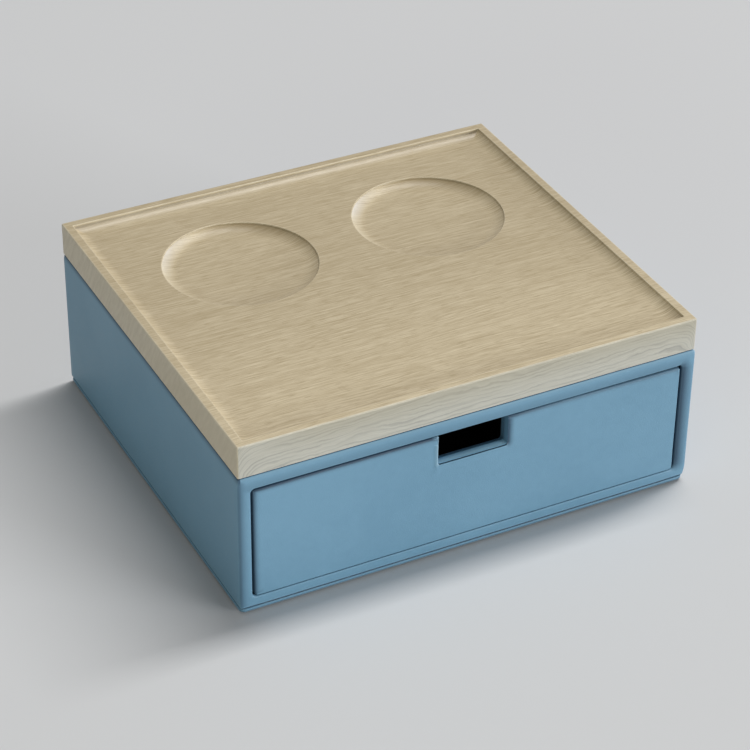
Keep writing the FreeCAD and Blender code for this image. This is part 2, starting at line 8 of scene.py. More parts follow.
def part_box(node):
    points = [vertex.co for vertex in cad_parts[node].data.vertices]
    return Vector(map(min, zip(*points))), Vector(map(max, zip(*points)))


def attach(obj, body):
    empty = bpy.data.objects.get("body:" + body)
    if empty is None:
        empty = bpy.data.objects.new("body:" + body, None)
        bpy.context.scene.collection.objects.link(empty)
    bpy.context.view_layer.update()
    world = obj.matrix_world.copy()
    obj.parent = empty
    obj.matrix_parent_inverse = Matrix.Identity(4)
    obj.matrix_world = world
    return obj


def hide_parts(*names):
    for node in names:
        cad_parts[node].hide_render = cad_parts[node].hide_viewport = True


# Tea bag drawer box: an ash tray with a coved recess on a leather-covered case with one
# drawer. Lengths are in millimetres here and become metres when a mesh is made.

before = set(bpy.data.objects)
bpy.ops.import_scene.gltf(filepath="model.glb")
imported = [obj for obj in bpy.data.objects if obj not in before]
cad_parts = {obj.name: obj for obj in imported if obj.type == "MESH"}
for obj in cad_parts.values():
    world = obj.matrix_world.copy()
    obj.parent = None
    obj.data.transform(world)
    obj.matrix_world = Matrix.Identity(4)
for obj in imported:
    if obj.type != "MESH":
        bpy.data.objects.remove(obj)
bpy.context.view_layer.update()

MM = 0.001

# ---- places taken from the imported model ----


def span(node):
    """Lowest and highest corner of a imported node, in millimetres."""
    low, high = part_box(node)
    return low / MM, high / MM


TRAY_LOW, TRAY_HIGH = span("tray_top")
SKIN_LOW, SKIN_HIGH = span("case_leather")
BASE_LOW, BASE_HIGH = span("base_plate")
FRONT_LOW, FRONT_HIGH = span("drawer_front_leather")
TRIM_LOW, TRIM_HIGH = span("notch_trim")
INNER_LOW, INNER_HIGH = span("inner_notch_trim")
BAY_LOW, BAY_HIGH = span("bay_lining")

HALF_WIDTH, HALF_DEPTH = TRAY_HIGH.x, TRAY_HIGH.y

# tray
TRAY_CORNER = 0.9
TRAY_EDGE = 0.7  # rounding of the upper outside edge
TRAY_FOOT = 0.12  # rounding of the lower outside edge
TRAY_DROP = 0.35  # how far the underside comes down into the seam
TRAY_FOOT_INSET = 1.2
RIM = 5.0
RIM_INNER_EDGE = 0.35
MITRE = 0.5  # corner radius of the recess's mitres
RECESS_DEPTH = 4.0
RECESS_STEP = 1.0  # upright part of the recess wall
RECESS_COVE = 6.5  # run of the cove below it
BACK_STEP = 2.0  # the same two at the back
BACK_COVE = 5.6
BACK_PAINTED_SHADE = -0.9  # painted shade at the top of the back cove
CUP_RADIUS = 42.0
CUP_X = 56.5
CUP_Y = 42.55
CUP_DEPTH = 3.8
CUP_STEP = 0.8
CUP_COVE = 8.0
CUP_EDGE = 0.3
CUP_FLOOR_RINGS = (26.0, 18.0, 10.0, 4.0)
CUP_LIT_TURN = 0.6  # radians from straight left to the strongest painted highlight on a cup's wall
CUP_LIT = 1.4
CUP_SHADE_TURN = 1.2  # radians from straight right to the darkest painted shade
CUP_SHADE = 1.2
CUP_TONE = (95.8, 96.6)  # levels between which a cup's floor turns to the tray's tone
CUP_WALL = (98.4, 99.0)  # levels between which a cup's wall turns to the tray's, for the grey of its painted highlight

# case covering
SKIN = 0.9
SKIN_CORNER = (1.6, 0.8)
SKIN_BEND = 1.2
SKIN_SINK = 1.1
SKIN_SHOULDER = 5.0  # height over which the wall draws in under the tray
SKIN_TUCK = 0.75  # how far in it has come there
SEAM_DROP = 1.25  # top of that roll below the seam
SKIN_SWELL = 0.9  # how far the right wall swells out
SKIN_FOOT = 0.6
SKIN_WALL = 0.6  # thickness of the visible shell
GROOVE_INSET = 0.78  # where the covering ends behind the groove
TURN_IN = 16.0
LIP_BACK = BAY_LOW.y
OPENING_HALF = BAY_HIGH.x - SKIN
OPENING_LOW = BAY_LOW.z + SKIN - 0.35
OPENING_HIGH = BAY_HIGH.z - SKIN
FRAME_CORNER = 2.5
FRAME_SHARES = (0.36, 0.68, 0.92, 1.0)
FOOT_SHARES = (0.0, 0.08, 0.32, 0.64)
CORNER_STEPS = 4  # points of the face's rim on each side of a corner of the opening
EDGE_SHIFT = 0.55  # how far the opening's left and top edges are moved in
RIGHT_DRAWN = 0.7  # how far the stiles are drawn back
LEFT_DRAWN = 0.9
PUCKER = 0.12
RIGHT_TONE = 0.95  # how much painted shade lies on the right stile, the left corner and the edge above
LEFT_TONE = 0.75
ABOVE_TONE = 0.26
# tones on the roll under the tray: a faint painted highlight where it turns in, then painted
# shade into the seam; on the left wall the roll gets painted shade throughout
ROLL_TONE = (0.0, 0.1, 0.2, 0.25, 0.3, 0.2, -0.2, -0.8)
ROLL_TONE_LEFT = (-0.05, -0.15, -0.3, -0.45, -0.6, -0.75, -0.9, -1.0)
# tones round the opening's bend: a faint painted highlight at its front, then painted shade into
# the opening
FRAME_BEND_TONE = (0.0, 0.1, 0.15, 0.1, 0.0, -0.2, -0.4, -0.6, -0.8)

# drawer front
PANEL_CORNER = 1.8
PANEL_BEND = 0.6
PANEL_TURN = 5  # steps round a corner of the front
PANEL_STEPS = (0.9, 1.3, 1.8, 2.4, 3.1, 4.0, 5.2)
PANEL_WALL = 0.5  # thickness of the visible shell
# tones on the drawer front: painted shade in the top and left bends and steps, a faint painted
# highlight on the other bends
PANEL_BEND_TONE = (-0.8, -0.9, -1.0, -1.0, -1.0, -0.97, -0.92)
PANEL_TOP_TONE = (-1.0, -0.76, -0.46, -0.22, -0.08, 0.0, 0.0)
PANEL_LEFT_TONE = (-0.64, -0.45, -0.27, -0.14, -0.05, 0.0, 0.0)
NOTCH_LOW = TRIM_LOW.z + 0.6
NOTCH_SHIFT = 0.5  # the notch lies a little right of the middle
NOTCH_FACE_HALF = 20.65
NOTCH_FACE_LOW = NOTCH_LOW + 0.2
NOTCH_FACE_CORNER = 1.9
TOP_DOWN = 0.6  # how far the front's edges are shifted
LIP_DOWN = 0.1
BOTTOM_DOWN = 0.45
SIDES_RIGHT = 0.35
LEFT_SINK = 0.9  # how deep the covering sinks at the left, at the top and right of the notch
TOP_SINK = 0.55
NOTCH_SINK = 0.75
LOW_FORWARD = 0.75  # how far the lower, the left and the right part stand forward
LEFT_FORWARD = 0.3
RIGHT_FORWARD = 0.55
RIDGE_LEFT = 0.55  # the fold's height at the notch's left edge and at its foot
RIDGE_LOW = 0.25
# rows beside the notch: how far away, and the painted shade right of it
NOTCH_SHADE = ((0.5, -0.8), (1.0, -0.55), (1.6, -0.33), (2.4, -0.14), (3.6, 0.0))
# rows over the notch's edge: how far into the notch, how deep, the tone, the tone on the left;
# the tones paint a highlight on the fold and shade deeper in
NOTCH_FOLD = ((0.0, 0.0, 0.35, 0.8), (0.08, 0.02, 0.2, 1.0), (0.15, 0.08, -0.1, 1.0),
              (0.20, 0.17, -0.4, 1.0), (0.22, 0.32, -0.7, 0.6), (0.22, 0.6, -0.9, -0.3),
              (0.22, 0.95, -1.0, -1.0))

# strips in the notch
TRIM_THICKNESS = 0.6
STRIP_OUTLINE = (20.1, NOTCH_LOW + 1.1, 1.5)  # half width, lower edge and corner radius
# the third value paints light: a highlight along the crest, shade at the edges
STRIP_SECTION = [(0.44, 0.75, -1.0), (0.40, 0.52, -0.8), (0.34, 0.43, -0.4), (0.26, 0.50, 0.2),
                 (0.17, 0.75, 0.7), (0.08, 1.15, 1.0), (-0.03, 1.8, 1.0), (-0.13, 2.5, 0.9),
                 (-0.22, 3.2, 0.6), (-0.29, 3.9, 0.2), (-0.32, 4.5, -0.3)]
INNER_STRIP_OUTLINE = (20.4, NOTCH_LOW - 0.1, 1.8)
INNER_STRIP_SECTION = [(0.56, 0.02, -1.0), (0.30, 0.12, -0.4), (0.10, 0.40, 0.1),
                       (0.0, 0.9, 0.2), (0.0, 2.2, -0.1)]

# base strip
BASE_CORNER = 3.0
BASE_EDGE = 0.6

# dark lines, strokes and pale pores on the wood's top: how many along and across, the noise
# levels between which they show, how strongly, and their colour
TOP_MARKS = (((0.012, 0.5), 0.63, 0.74, 0.35, (164, 147, 115)),
             ((0.11, 1.7), 0.59, 0.69, 0.6, (163, 146, 114)),
             ((0.16, 3.4), 0.64, 0.78, 0.30, (214, 203, 178)))

# wood tones, with painted light and shade
NEAR_PAINTED_LIGHT = (-115.0, 30.0)  # places in Y between which the paler near tone, painted light towards the front, fades out
WARM_SHADE_LEVELS = (86.0, 106.0)  # levels between which painted shade makes the near and far edges darker and warmer
BACK_GREY = (20.0, 14.0)  # distances from the back over which the painted shade turns grey
CUP_GREY = (5.0, 36.0)  # distances behind a cup's middle over which the painted highlight on its wall turns grey


# ---- mesh tools ----

def spaced(low, high, step):
    """Even places from low to high, both included."""
    count = max(1, round((high - low) / step))
    return [low + (high - low) * n / count for n in range(count + 1)]


def quarter(start, end, bulge, segments):
    """Places on a quarter ellipse from start to end; bulge is the corner that it rounds."""
    middle = (start[0] + end[0] - bulge[0], start[1] + end[1] - bulge[1])
    places = []
    for n in range(segments + 1):
        angle = math.pi / 2 * n / segments
        places.append(tuple(middle[k] + (start[k] - middle[k]) * math.cos(angle)
                            + (end[k] - middle[k]) * math.sin(angle) for k in (0, 1)))
    return places


def cove(wall, edge, segments):
    """Places down an arc that leaves a wall's foot and meets the floor level at its edge."""
    run, rise = abs(edge[0] - wall[0]), wall[1] - edge[1]
    toward = 1 if wall[0] > edge[0] else -1
    radius = (run * run + rise * rise) / (2 * rise)
    swing = 2 * math.atan(rise / run)
    places = []
    for n in range(segments + 1):
        angle = swing * (1 - n / segments)
        places.append((edge[0] + toward * radius * math.sin(angle),
                       edge[1] + radius * (1 - math.cos(angle))))
    return places


def arc_inset(z, wall, edge):
    """How far in the cove between a wall's foot and the floor's edge has come at a level."""
    if z >= wall[1]:
        return wall[0]
    run, rise = edge[0] - wall[0], wall[1] - edge[1]
    radius = (run * run + rise * rise) / (2 * rise)
    down = radius - (z - edge[1])
    return edge[0] - math.sqrt(max(radius * radius - down * down, 0.0))


def ring(half_width, half_depth, radius, columns, rows, turn=5, radius_y=None):
    """Points round a rounded rectangle, anticlockwise from the left end of its near side.
    Columns and rows are shares, from -1 to 1, of the straight parts of its sides."""
    round_x, round_y = radius, radius if radius_y is None else radius_y
    reach_x, reach_y = half_width - round_x, half_depth - round_y
    sides = ([(reach_x * s, -half_depth) for s in columns],
             [(half_width, reach_y * s) for s in rows],
             [(-reach_x * s, half_depth) for s in columns],
             [(-half_width, -reach_y * s) for s in rows])
    corners = ((reach_x, -reach_y), (reach_x, reach_y), (-reach_x, reach_y), (-reach_x, -reach_y))
    points = []
    for number, (side, (x, y)) in enumerate(zip(sides, corners)):
        points += side
        for n in range(1, turn):
            angle = math.pi / 2 * (number - 1 + n / turn)
            points.append((x + round_x * math.cos(angle), y + round_y * math.sin(angle)))
    return points


def within(polygon, x, y):
    """True for a point inside a polygon."""
    inside = False
    for (ax, ay), (bx, by) in zip(polygon, polygon[1:] + polygon[:1]):
        if (ay > y) != (by > y) and x < ax + (y - ay) / (by - ay) * (bx - ax):
            inside = not inside
    return inside


def shares(step):
    """Even shares from -1 to 1, each step in hundredths."""
    return [share / 100 for share in spaced(-100, 100, step)]


def add_object(name, data):
    """An object in the scene with this mesh, lamp or camera."""
    added = bpy.data.objects.new(name, data)
    bpy.context.scene.collection.objects.link(added)
    return added


class Shape:
    """The points, faces and per-point tones of one piece. A tone above 0 makes the surface paler,
    partly from scuffing and stretching and partly as a painted highlight; below 0 it paints shade
    into gaps, seams, grooves and hollows."""

    def __init__(self):
        self.points, self.faces, self.wear_and_painted_light = [], [], []

    def loop(self, points, wear_and_painted_light=0.0):
        start = len(self.points)
        self.points += [tuple(point) for point in points]
        self.wear_and_painted_light += list(wear_and_painted_light) if isinstance(wear_and_painted_light, (list, tuple)) else [wear_and_painted_light] * len(points)
        return list(range(start, len(self.points)))

    def sweep(self, rows, closed=True, skip=()):
        """Quads between neighbouring rows of points; skip names the steps that stay open."""
        count = len(rows[0])
        steps = [n for n in range(count if closed else count - 1) if n not in skip]
        for first, second in zip(rows, rows[1:]):
            for n in steps:
                m = (n + 1) % count
                self.faces.append((first[n], first[m], second[m], second[n]))

    def cap(self, row):
        self.faces.append(tuple(row))

    def fill(self, outline, holes, across, spacing, extra=()):
        """Triangles over a flat region between loops; across are its two axes, and extra
        are more rows of points inside it."""

        def flatten(row):
            return [tuple(self.points[n][axis] for axis in across) for n in row]

        flat = [flatten(row) for row in [outline, *holes]]
        known = [n for row in [outline, *holes, *extra] for n in row]
        places = [place for row in flat + [flatten(row) for row in extra] for place in row]
        edges, start = [], 0
        for row in flat:
            edges += [(start + n, start + (n + 1) % len(row)) for n in range(len(row))]
            start += len(row)
        near = kdtree.KDTree(len(places))
        for n, place in enumerate(places):
            near.insert((*place, 0), n)
        near.balance()

        def inside(x, y):
            return within(flat[0], x, y) and not any(within(hole, x, y) for hole in flat[1:])

        low = [min(place[k] for place in flat[0]) for k in (0, 1)]
        high = [max(place[k] for place in flat[0]) for k in (0, 1)]
        constant = [axis for axis in (0, 1, 2) if axis not in across][0]
        depth = self.points[outline[0]][constant]
        triangle_height = 0.87
        for row_number, y in enumerate(spaced(low[1], high[1], spacing * triangle_height)):
            shift = spacing / 2 * (row_number % 2)
            for x in spaced(low[0], high[0], spacing):
                clear = near.find((x + shift, y, 0))[2] > spacing * 0.6
                if clear and inside(x + shift, y):
                    places.append((x + shift, y))
                    point = [0.0, 0.0, 0.0]
                    point[across[0]], point[across[1]], point[constant] = x + shift, y, depth
                    known += self.loop([point])
        found = geometry.delaunay_2d_cdt([Vector(place) for place in places], edges, [], 0, 1e-6)
        for face in found[2]:
            middle = sum((found[0][n] for n in face), Vector((0, 0))) / len(face)
            if inside(*middle):
                self.faces.append(tuple(known[found[3][n][0]] for n in face))

    def piece(self, name, material, move=None):
        """The mesh object, smooth shaded, with doubled points joined and its faces outward."""
        mesh = bpy.data.meshes.new(name)
        points = [move(Vector(point)) for point in self.points] if move else self.points
        mesh.from_pydata([Vector(point) * MM for point in points], [], self.faces)
        # the per-point tones carry scuffing, painted highlights and painted shade
        wear_and_light = mesh.attributes.new("wear_and_painted_light", "FLOAT", "POINT")
        wear_and_light.data.foreach_set("value", self.wear_and_painted_light)
        work = bmesh.new()
        work.from_mesh(mesh)
        bmesh.ops.remove_doubles(work, verts=work.verts, dist=1e-6)
        bmesh.ops.recalc_face_normals(work, faces=work.faces)
        for face in work.faces:
            face.smooth = True
        work.to_mesh(mesh)
        work.free()
        mesh.materials.append(material)
        return add_object(name, mesh)


def thicken(piece, thickness):
    """Gives a skin its thickness, in millimetres, on its inner side."""
    shell = piece.modifiers.new("thickness", "SOLIDIFY")
    shell.thickness = thickness * MM
    shell.offset = -1
    return piece


# ---- material tools ----

def srgb(red, green, blue):
    """A colour written as 0 to 255, as the shader takes it."""
    return tuple(c / 12.92 if c <= 0.04045 else ((c + 0.055) / 1.055) ** 2.4
                 for c in (red / 255, green / 255, blue / 255)) + (1.0,)


class Paint:
    """A node material with short calls for the nodes in front of its shader."""

    def __init__(self, name, **sockets):
        self.material = bpy.data.materials.new(name)
        self.material.use_nodes = True
        self.tree = self.material.node_tree
        self.shader = self.tree.nodes["Principled BSDF"]
        for socket, value in sockets.items():
            self.shader.inputs[socket.replace("_", " ")].default_value = value
        coordinates = self.tree.nodes.new("ShaderNodeTexCoord").outputs["Object"]
        self.place = self.vector("SCALE", coordinates, scale=1 / MM)

    def feed(self, socket, value):
        if isinstance(value, bpy.types.NodeSocket):
            self.tree.links.new(value, socket)
        elif value is not None:
            socket.default_value = value

    def set(self, socket, value):
        self.feed(self.shader.inputs[socket], value)

    def node(self, kind, inputs, output=0, **settings):
        """A new node with its inputs and settings; returns one of its outputs. The inputs are
        in order, or named."""
        node = self.tree.nodes.new("ShaderNode" + kind)
        for setting, value in settings.items():
            setattr(node, setting, value)
        for socket, value in inputs.items() if isinstance(inputs, dict) else enumerate(inputs):
            self.feed(node.inputs[socket], value)
        return node.outputs[output]

    def math(self, operation, *values):
        return self.node("Math", values, operation=operation)

    def plus(self, first, second):
        return self.math("ADD", first, second)

    def minus(self, first, second):
        return self.math("SUBTRACT", first, second)

    def times(self, first, second, then_plus=None):
        if then_plus is None:
            return self.math("MULTIPLY", first, second)
        return self.math("MULTIPLY_ADD", first, second, then_plus)

    def larger(self, first, second):
        return self.math("MAXIMUM", first, second)

    def vector(self, operation, first, second=None, scale=None):
        return self.node("VectorMath", (first, second, None, scale), operation=operation)

    def split(self, vector):
        return [self.node("SeparateXYZ", [vector], axis) for axis in "XYZ"]

    def join(self, x, y, z):
        return self.node("CombineXYZ", (x, y, z))

    def noise(self, vector, scale, detail=2.0, roughness=0.5, output=0):
        """Smooth noise, about 0.5, with one wave in each 1/scale millimetres."""
        scales = scale if isinstance(scale, tuple) else (scale, scale, scale)
        return self.node("TexNoise", {"Vector": self.vector("MULTIPLY", vector, scales),
                                      "Scale": 1.0, "Detail": detail, "Roughness": roughness},
                         output)

    def shifted(self, scale, amount):
        """The place, moved about by a noise of that scale."""
        moved = self.vector("SCALE", self.noise(self.place, scale, output="Color"), scale=amount)
        return self.vector("ADD", self.place, moved)

    def cells(self, vector, scale, feature="F1"):
        return self.node("TexVoronoi", {"Vector": vector, "Scale": scale}, "Distance",
                         feature=feature)

    def between(self, value, low, high, at_low=0.0, at_high=1.0):
        """A smooth step from at_low to at_high as the value goes from low to high."""
        return self.node("MapRange", (value, low, high, at_low, at_high),
                         interpolation_type="SMOOTHSTEP")

    def mix(self, share, first, second):
        return self.node("Mix", {0: share, 6: first, 7: second}, 2, data_type="RGBA")

    # per-point tones: scuffing and painted highlights above 0, painted shade below 0
    def wear_and_painted_light(self):
        return self.node("Attribute", {}, "Fac", attribute_name="wear_and_painted_light")

    def bump(self, height, depth, strength, under=None):
        """A bump of a depth in millimetres."""
        bump = self.node("Bump", {"Strength": strength, "Distance": depth * MM,
                                  "Height": height, "Normal": under})
        self.set("Normal", bump)
        return bump


# ---- materials ----

def ash():
    """Light ash, brushed and lacquered, its grain along X on top and in growth rings in front."""
    paint = Paint("ash", Specular_IOR_Level=0.4)
    x, y, z = paint.split(paint.place)
    mix, noise_at, plus = paint.mix, paint.noise, paint.plus
    times, between = paint.times, paint.between
    drift = noise_at(paint.place, (0.006, 0.022, 0.022), 2.0)
    small_drift = noise_at(paint.place, (0.035, 0.09, 0.09), 2.0)
    across = plus(times(drift, 11.0, y), times(small_drift, 1.6, times(z, 0.45)))
    top_place = paint.join(x, across, 0.0)

    bands = noise_at(top_place, (0.004, 0.10, 1), 2.0)
    lines = noise_at(top_place, (0.018, 0.95, 1), 3.0, 0.6)
    streaks = noise_at(top_place, (0.07, 2.4, 1), 2.0, 0.6)

    # the near and far edges show the rings side on, and they arch down towards both ends
    to_end = paint.minus(HALF_WIDTH, paint.math("ABSOLUTE", x))
    bend = between(x, -60.0, 60.0, -5.2, -3.2)
    arch = times(paint.math("EXPONENT", paint.math("DIVIDE", to_end, bend)), 10.5)
    rise = times(x, 0.012)
    wander = noise_at(paint.place, (0.009, 0.009, 0.05), 2.0)
    ripple = noise_at(paint.place, (0.16, 0.02, 0.25), 3.0)
    level = plus(plus(paint.minus(z, rise), arch), times(ripple, 2.2, times(wander, 14.0)))
    edge_place = paint.join(x, level, 0.0)
    uneven = times(noise_at(edge_place, (0.03, 0.3, 1), 1.0), 4.5)
    spacing = paint.math("DIVIDE", plus(level, uneven), 2.5)
    ring_place = paint.math("FRACT", spacing)
    late_wood = times(between(ring_place, 0.35, 0.80), between(ring_place, 0.82, 1.0, 1.0, 0.0))
    strength = noise_at(edge_place, (0.02, 0.4, 1), 2.0)
    late_wood = times(late_wood, between(strength, 0.34, 0.62, 0.15, 1.0))
    edge_streaks = noise_at(edge_place, (0.06, 2.2, 1), 2.0, 0.6)

    # paler towards the front: painted light; a little paler on the cup floors too
    near = paint.larger(between(y, *NEAR_PAINTED_LIGHT, 1.0, 0.0), between(z, *CUP_TONE, 0.25, 0.0))
    light = mix(near, srgb(201, 187, 159), srgb(217, 203, 174))
    dark = mix(near, srgb(175, 159, 128), srgb(188, 172, 141))
    top_tone = plus(times(lines, 0.42), plus(times(bands, 0.10), times(streaks, 0.54)))
    top = mix(between(top_tone, 0.41, 0.67), dark, light)
    for scale, low, high, share, tone in TOP_MARKS:
        marks = between(noise_at(top_place, (*scale, 1), 1.0), low, high)
        top = mix(times(marks, share), top, srgb(*tone))

    side = between(edge_streaks, 0.3, 0.7)
    side = mix(side, srgb(176, 173, 163), srgb(188, 186, 176))
    side = mix(times(late_wood, 0.66), side, srgb(143, 142, 137))
    # painted shade: the near and far edges darker and warmer towards their top, more so to the
    # right
    painted_warm_shade = times(between(z, *WARM_SHADE_LEVELS, 0.0, 0.5), between(x, -125.0, -80.0, 0.3, 1.0))
    side = mix(painted_warm_shade, side, srgb(160, 150, 124))
    on_side = between(paint.math("ABSOLUTE", y), HALF_DEPTH - 1.0, HALF_DEPTH - 0.2)

    end_place = paint.join(0.0, times(z, 0.6, y), z)
    end_tone = noise_at(end_place, (1, 0.35, 0.08), 3.0, 0.6)
    end = mix(between(end_tone, 0.3, 0.7), srgb(184, 173, 150), srgb(196, 186, 164))
    end = mix(between(y, -115.0, 50.0, 0.45, 0.0), end, srgb(208, 196, 172))
    on_end = between(paint.math("ABSOLUTE", x), HALF_WIDTH - 0.9, HALF_WIDTH - 0.15)

    colour = mix(on_side, top, side)
    colour = mix(on_end, colour, end)
    # painted shade where the tones are below 0: the top of the back cove and the cups' back right
    # walls
    hollow = paint.larger(times(paint.wear_and_painted_light(), -0.75), 0.0)
    at_back = between(y, *(HALF_DEPTH - distance for distance in BACK_GREY))
    painted_shade_tone = mix(at_back, srgb(138, 120, 88), srgb(164, 153, 136))
    colour = mix(hollow, colour, painted_shade_tone)
    # paler where the tones are above 0: scuffed edges with painted highlights, and painted
    # highlights on the cup walls, greyer on their back walls
    patches = between(noise_at(paint.place, 0.05, 2.0), 0.3, 0.6, 0.25, 0.5)
    wear_and_light = times(paint.larger(paint.wear_and_painted_light(), 0.0), patches)
    neutral_highlight_share = times(between(z, *CUP_WALL, 1.0, 0.0),
                   between(y, *(CUP_Y + distance for distance in CUP_GREY)))
    scuff_and_highlight_tone = mix(neutral_highlight_share, srgb(219, 211, 191), srgb(214, 214, 218))
    colour = mix(wear_and_light, colour, scuff_and_highlight_tone)
    paint.set("Base Color", colour)

    shine = times(lines, 0.12, 0.30)
    paint.set("Roughness", times(wear_and_light, 0.2, shine))
    relief = mix(on_side, plus(times(streaks, 0.6), lines),
                 paint.minus(edge_streaks, times(late_wood, 0.3)))
    paint.bump(relief, 0.16, 0.55)
    return paint.material


def leather(name, tone, deep, pale):
    """Coated leatherette: a fine pebble and a slight cloud of tone, with painted shade in the
    pebble's creases; paler where it is stretched over edges and folds, with painted highlights
    there, and a painted deep navy shade in gaps, seams, grooves and the notch."""
    paint = Paint(name, Specular_IOR_Level=0.42, Sheen_Weight=0.06, Sheen_Roughness=0.4)
    mix, noise_at, times, between = paint.mix, paint.noise, paint.times, paint.between
    cloud = noise_at(paint.place, 0.014, 3.0, 0.55)
    mottle = noise_at(paint.place, 0.22, 3.0, 0.6)
    turned = paint.shifted(0.7, 0.7)
    grains = 1.15
    pebble = paint.cells(turned, grains)
    crease = paint.cells(turned, grains, "DISTANCE_TO_EDGE")
    tint = paint.plus(times(cloud, 0.7), times(mottle, 0.3))
    colour = mix(between(tint, 0.3, 0.7), deep, tone)
    # painted shade in the pebble's creases
    painted_crease_shade = between(crease, 0.0, 0.16, 0.10, 0.0)
    colour = mix(painted_crease_shade, colour, tuple(c * 0.72 for c in deep[:3]) + (1.0,))
    stretched_and_highlight = paint.larger(paint.wear_and_painted_light(), 0.0)
    painted_shade = paint.larger(times(paint.wear_and_painted_light(), -1.0), 0.0)
    # paler where stretched, and painted highlights
    colour = mix(times(times(stretched_and_highlight, stretched_and_highlight), 0.85), colour, pale)
    # painted shade: deep navy in gaps, seams, grooves and the notch
    colour = mix(times(painted_shade, 0.88), colour, srgb(2, 30, 58))
    paint.set("Base Color", colour)
    rough = times(mottle, 0.16, 0.42)
    paint.set("Roughness", paint.minus(rough, times(stretched_and_highlight, 0.07)))
    fine = noise_at(paint.place, 3.2, 2.0, 0.6)
    height = paint.plus(between(crease, 0.0, 0.22), times(fine, 0.35))
    height = paint.minus(height, times(pebble, 0.4))
    soft = noise_at(paint.place, 0.045, 2.0)
    under = paint.bump(soft, 0.9, 0.18)
    paint.bump(height, 0.05, 0.4, under)
    return paint.material


def microfibre(name, tone, high):
    """Flocked black lining: a short soft nap that catches light at a low angle."""
    paint = Paint(name, Roughness=0.95, Specular_IOR_Level=0.15, Sheen_Weight=0.25,
                  Sheen_Roughness=0.55)
    nap = paint.noise(paint.place, 2.4, 3.0, 0.7)
    brushed = paint.noise(paint.place, (0.03, 0.05, 0.05), 3.0, 0.6)
    share = paint.plus(paint.times(nap, 0.5), paint.times(brushed, 0.5))
    share = paint.between(share, 0.3, 0.7)
    paint.set("Base Color", paint.mix(share, tone, high))
    paint.bump(nap, 0.12, 0.6)
    return paint.material


def grained(name, scale, detail, fineness, colours, rough, relief, spread=None, patch=0.0,
            **sockets):
    """A grain that mixes two colours and drives roughness and relief; spread is the part of
    it that carries the mix, and patch the share of a slow unevenness in it."""
    paint = Paint(name, **sockets)
    grain = share = paint.noise(paint.place, scale, detail, fineness)
    if patch:
        uneven = paint.noise(paint.place, 0.05, 2.0)
        share = paint.plus(paint.times(grain, 1 - patch), paint.times(uneven, patch))
    if spread:
        share = paint.between(share, *spread)
    paint.set("Base Color", paint.mix(share, *(srgb(*colour) for colour in colours)))
    paint.set("Roughness", paint.times(grain, *rough))
    paint.bump(grain, *relief)
    return paint.material


# ---- tray ----

def make_tray(material):
    """One board in loops: underside, outer edge, rim, upright wall, cove and floor, with two
    turned recesses in the floor."""
    shape = Shape()
    columns = rows = shares(4)
    top, foot = TRAY_HIGH.z, TRAY_LOW.z

    def loop(inset, z, wear_and_painted_light=0.0, radius=MITRE, back=None, back_wear_and_light=None):
        flat = ring(HALF_WIDTH - inset, HALF_DEPTH - inset, radius, columns, rows)
        back_wear_and_light = wear_and_painted_light if back_wear_and_light is None else back_wear_and_light
        stretch = 1.0 if back is None else (HALF_DEPTH - back) / (HALF_DEPTH - inset)
        tones = [back_wear_and_light if y > HALF_DEPTH - inset - 0.1 else wear_and_painted_light for _, y in flat]
        return shape.loop([(x, y * (stretch if y > 0 else 1.0), z) for x, y in flat], tones)

    loops = [loop(TRAY_FOOT_INSET + 0.4, foot), loop(TRAY_FOOT_INSET, foot - TRAY_DROP)]
    for inset, z in quarter((TRAY_FOOT, foot - TRAY_DROP), (0, foot - TRAY_DROP + TRAY_FOOT),
                            (0, foot - TRAY_DROP), 3):
        loops.append(loop(inset, z, 0.0, TRAY_CORNER - inset))
    loops.append(loop(0, foot + TRAY_FOOT + 0.3, 0.0, TRAY_CORNER))
    loops.append(loop(0, top - TRAY_EDGE - 0.3, 0.0, TRAY_CORNER))
    for inset, z in quarter((0, top - TRAY_EDGE), (TRAY_EDGE, top), (0, top), 6):
        # the upper outside edge paler: scuffing with a painted highlight
        wear_and_painted_light = 0.2 + 0.55 * (1 - abs(inset - TRAY_EDGE / 2))
        loops.append(loop(inset, z, wear_and_painted_light, TRAY_CORNER - inset * 0.9))
    loops.append(loop(TRAY_EDGE + 0.4, top))
    loops.append(loop(RIM - RIM_INNER_EDGE - 0.3, top))
    edge = quarter((RIM - RIM_INNER_EDGE, top), (RIM, top - RIM_INNER_EDGE), (RIM, top), 3)
    # the rim's inner edge paler: scuffing with a painted highlight
    for inset, z in edge:
        loops.append(loop(inset, z, 0.8))
    wall_foot = top - RECESS_STEP
    loops.append(loop(RIM, wall_foot + 0.15))
    floor = top - RECESS_DEPTH
    back_wall, back_edge = (RIM, top - BACK_STEP), (RIM + BACK_COVE, floor)
    steps = 12
    places = cove((RIM, wall_foot), (RIM + RECESS_COVE, floor), steps)
    # the back of the cove gets painted shade, fading towards the floor
    for number, (inset, z) in enumerate(places):
        back = arc_inset(z, back_wall, back_edge)
        loops.append(loop(inset, z, back=back, back_wear_and_light=BACK_PAINTED_SHADE * (1 - number / steps)))
    loops.append(loop(RIM + RECESS_COVE + 0.4, floor, back=RIM + BACK_COVE + 0.3))
    shape.sweep(loops)
    shape.cap(loops[0])

    holes = [turn_cup(shape, middle, floor) for middle in (-CUP_X, CUP_X)]
    shape.fill(loops[-1], holes, (0, 1), spacing=6.0)
    return shape.piece("ash_tray_top", material)


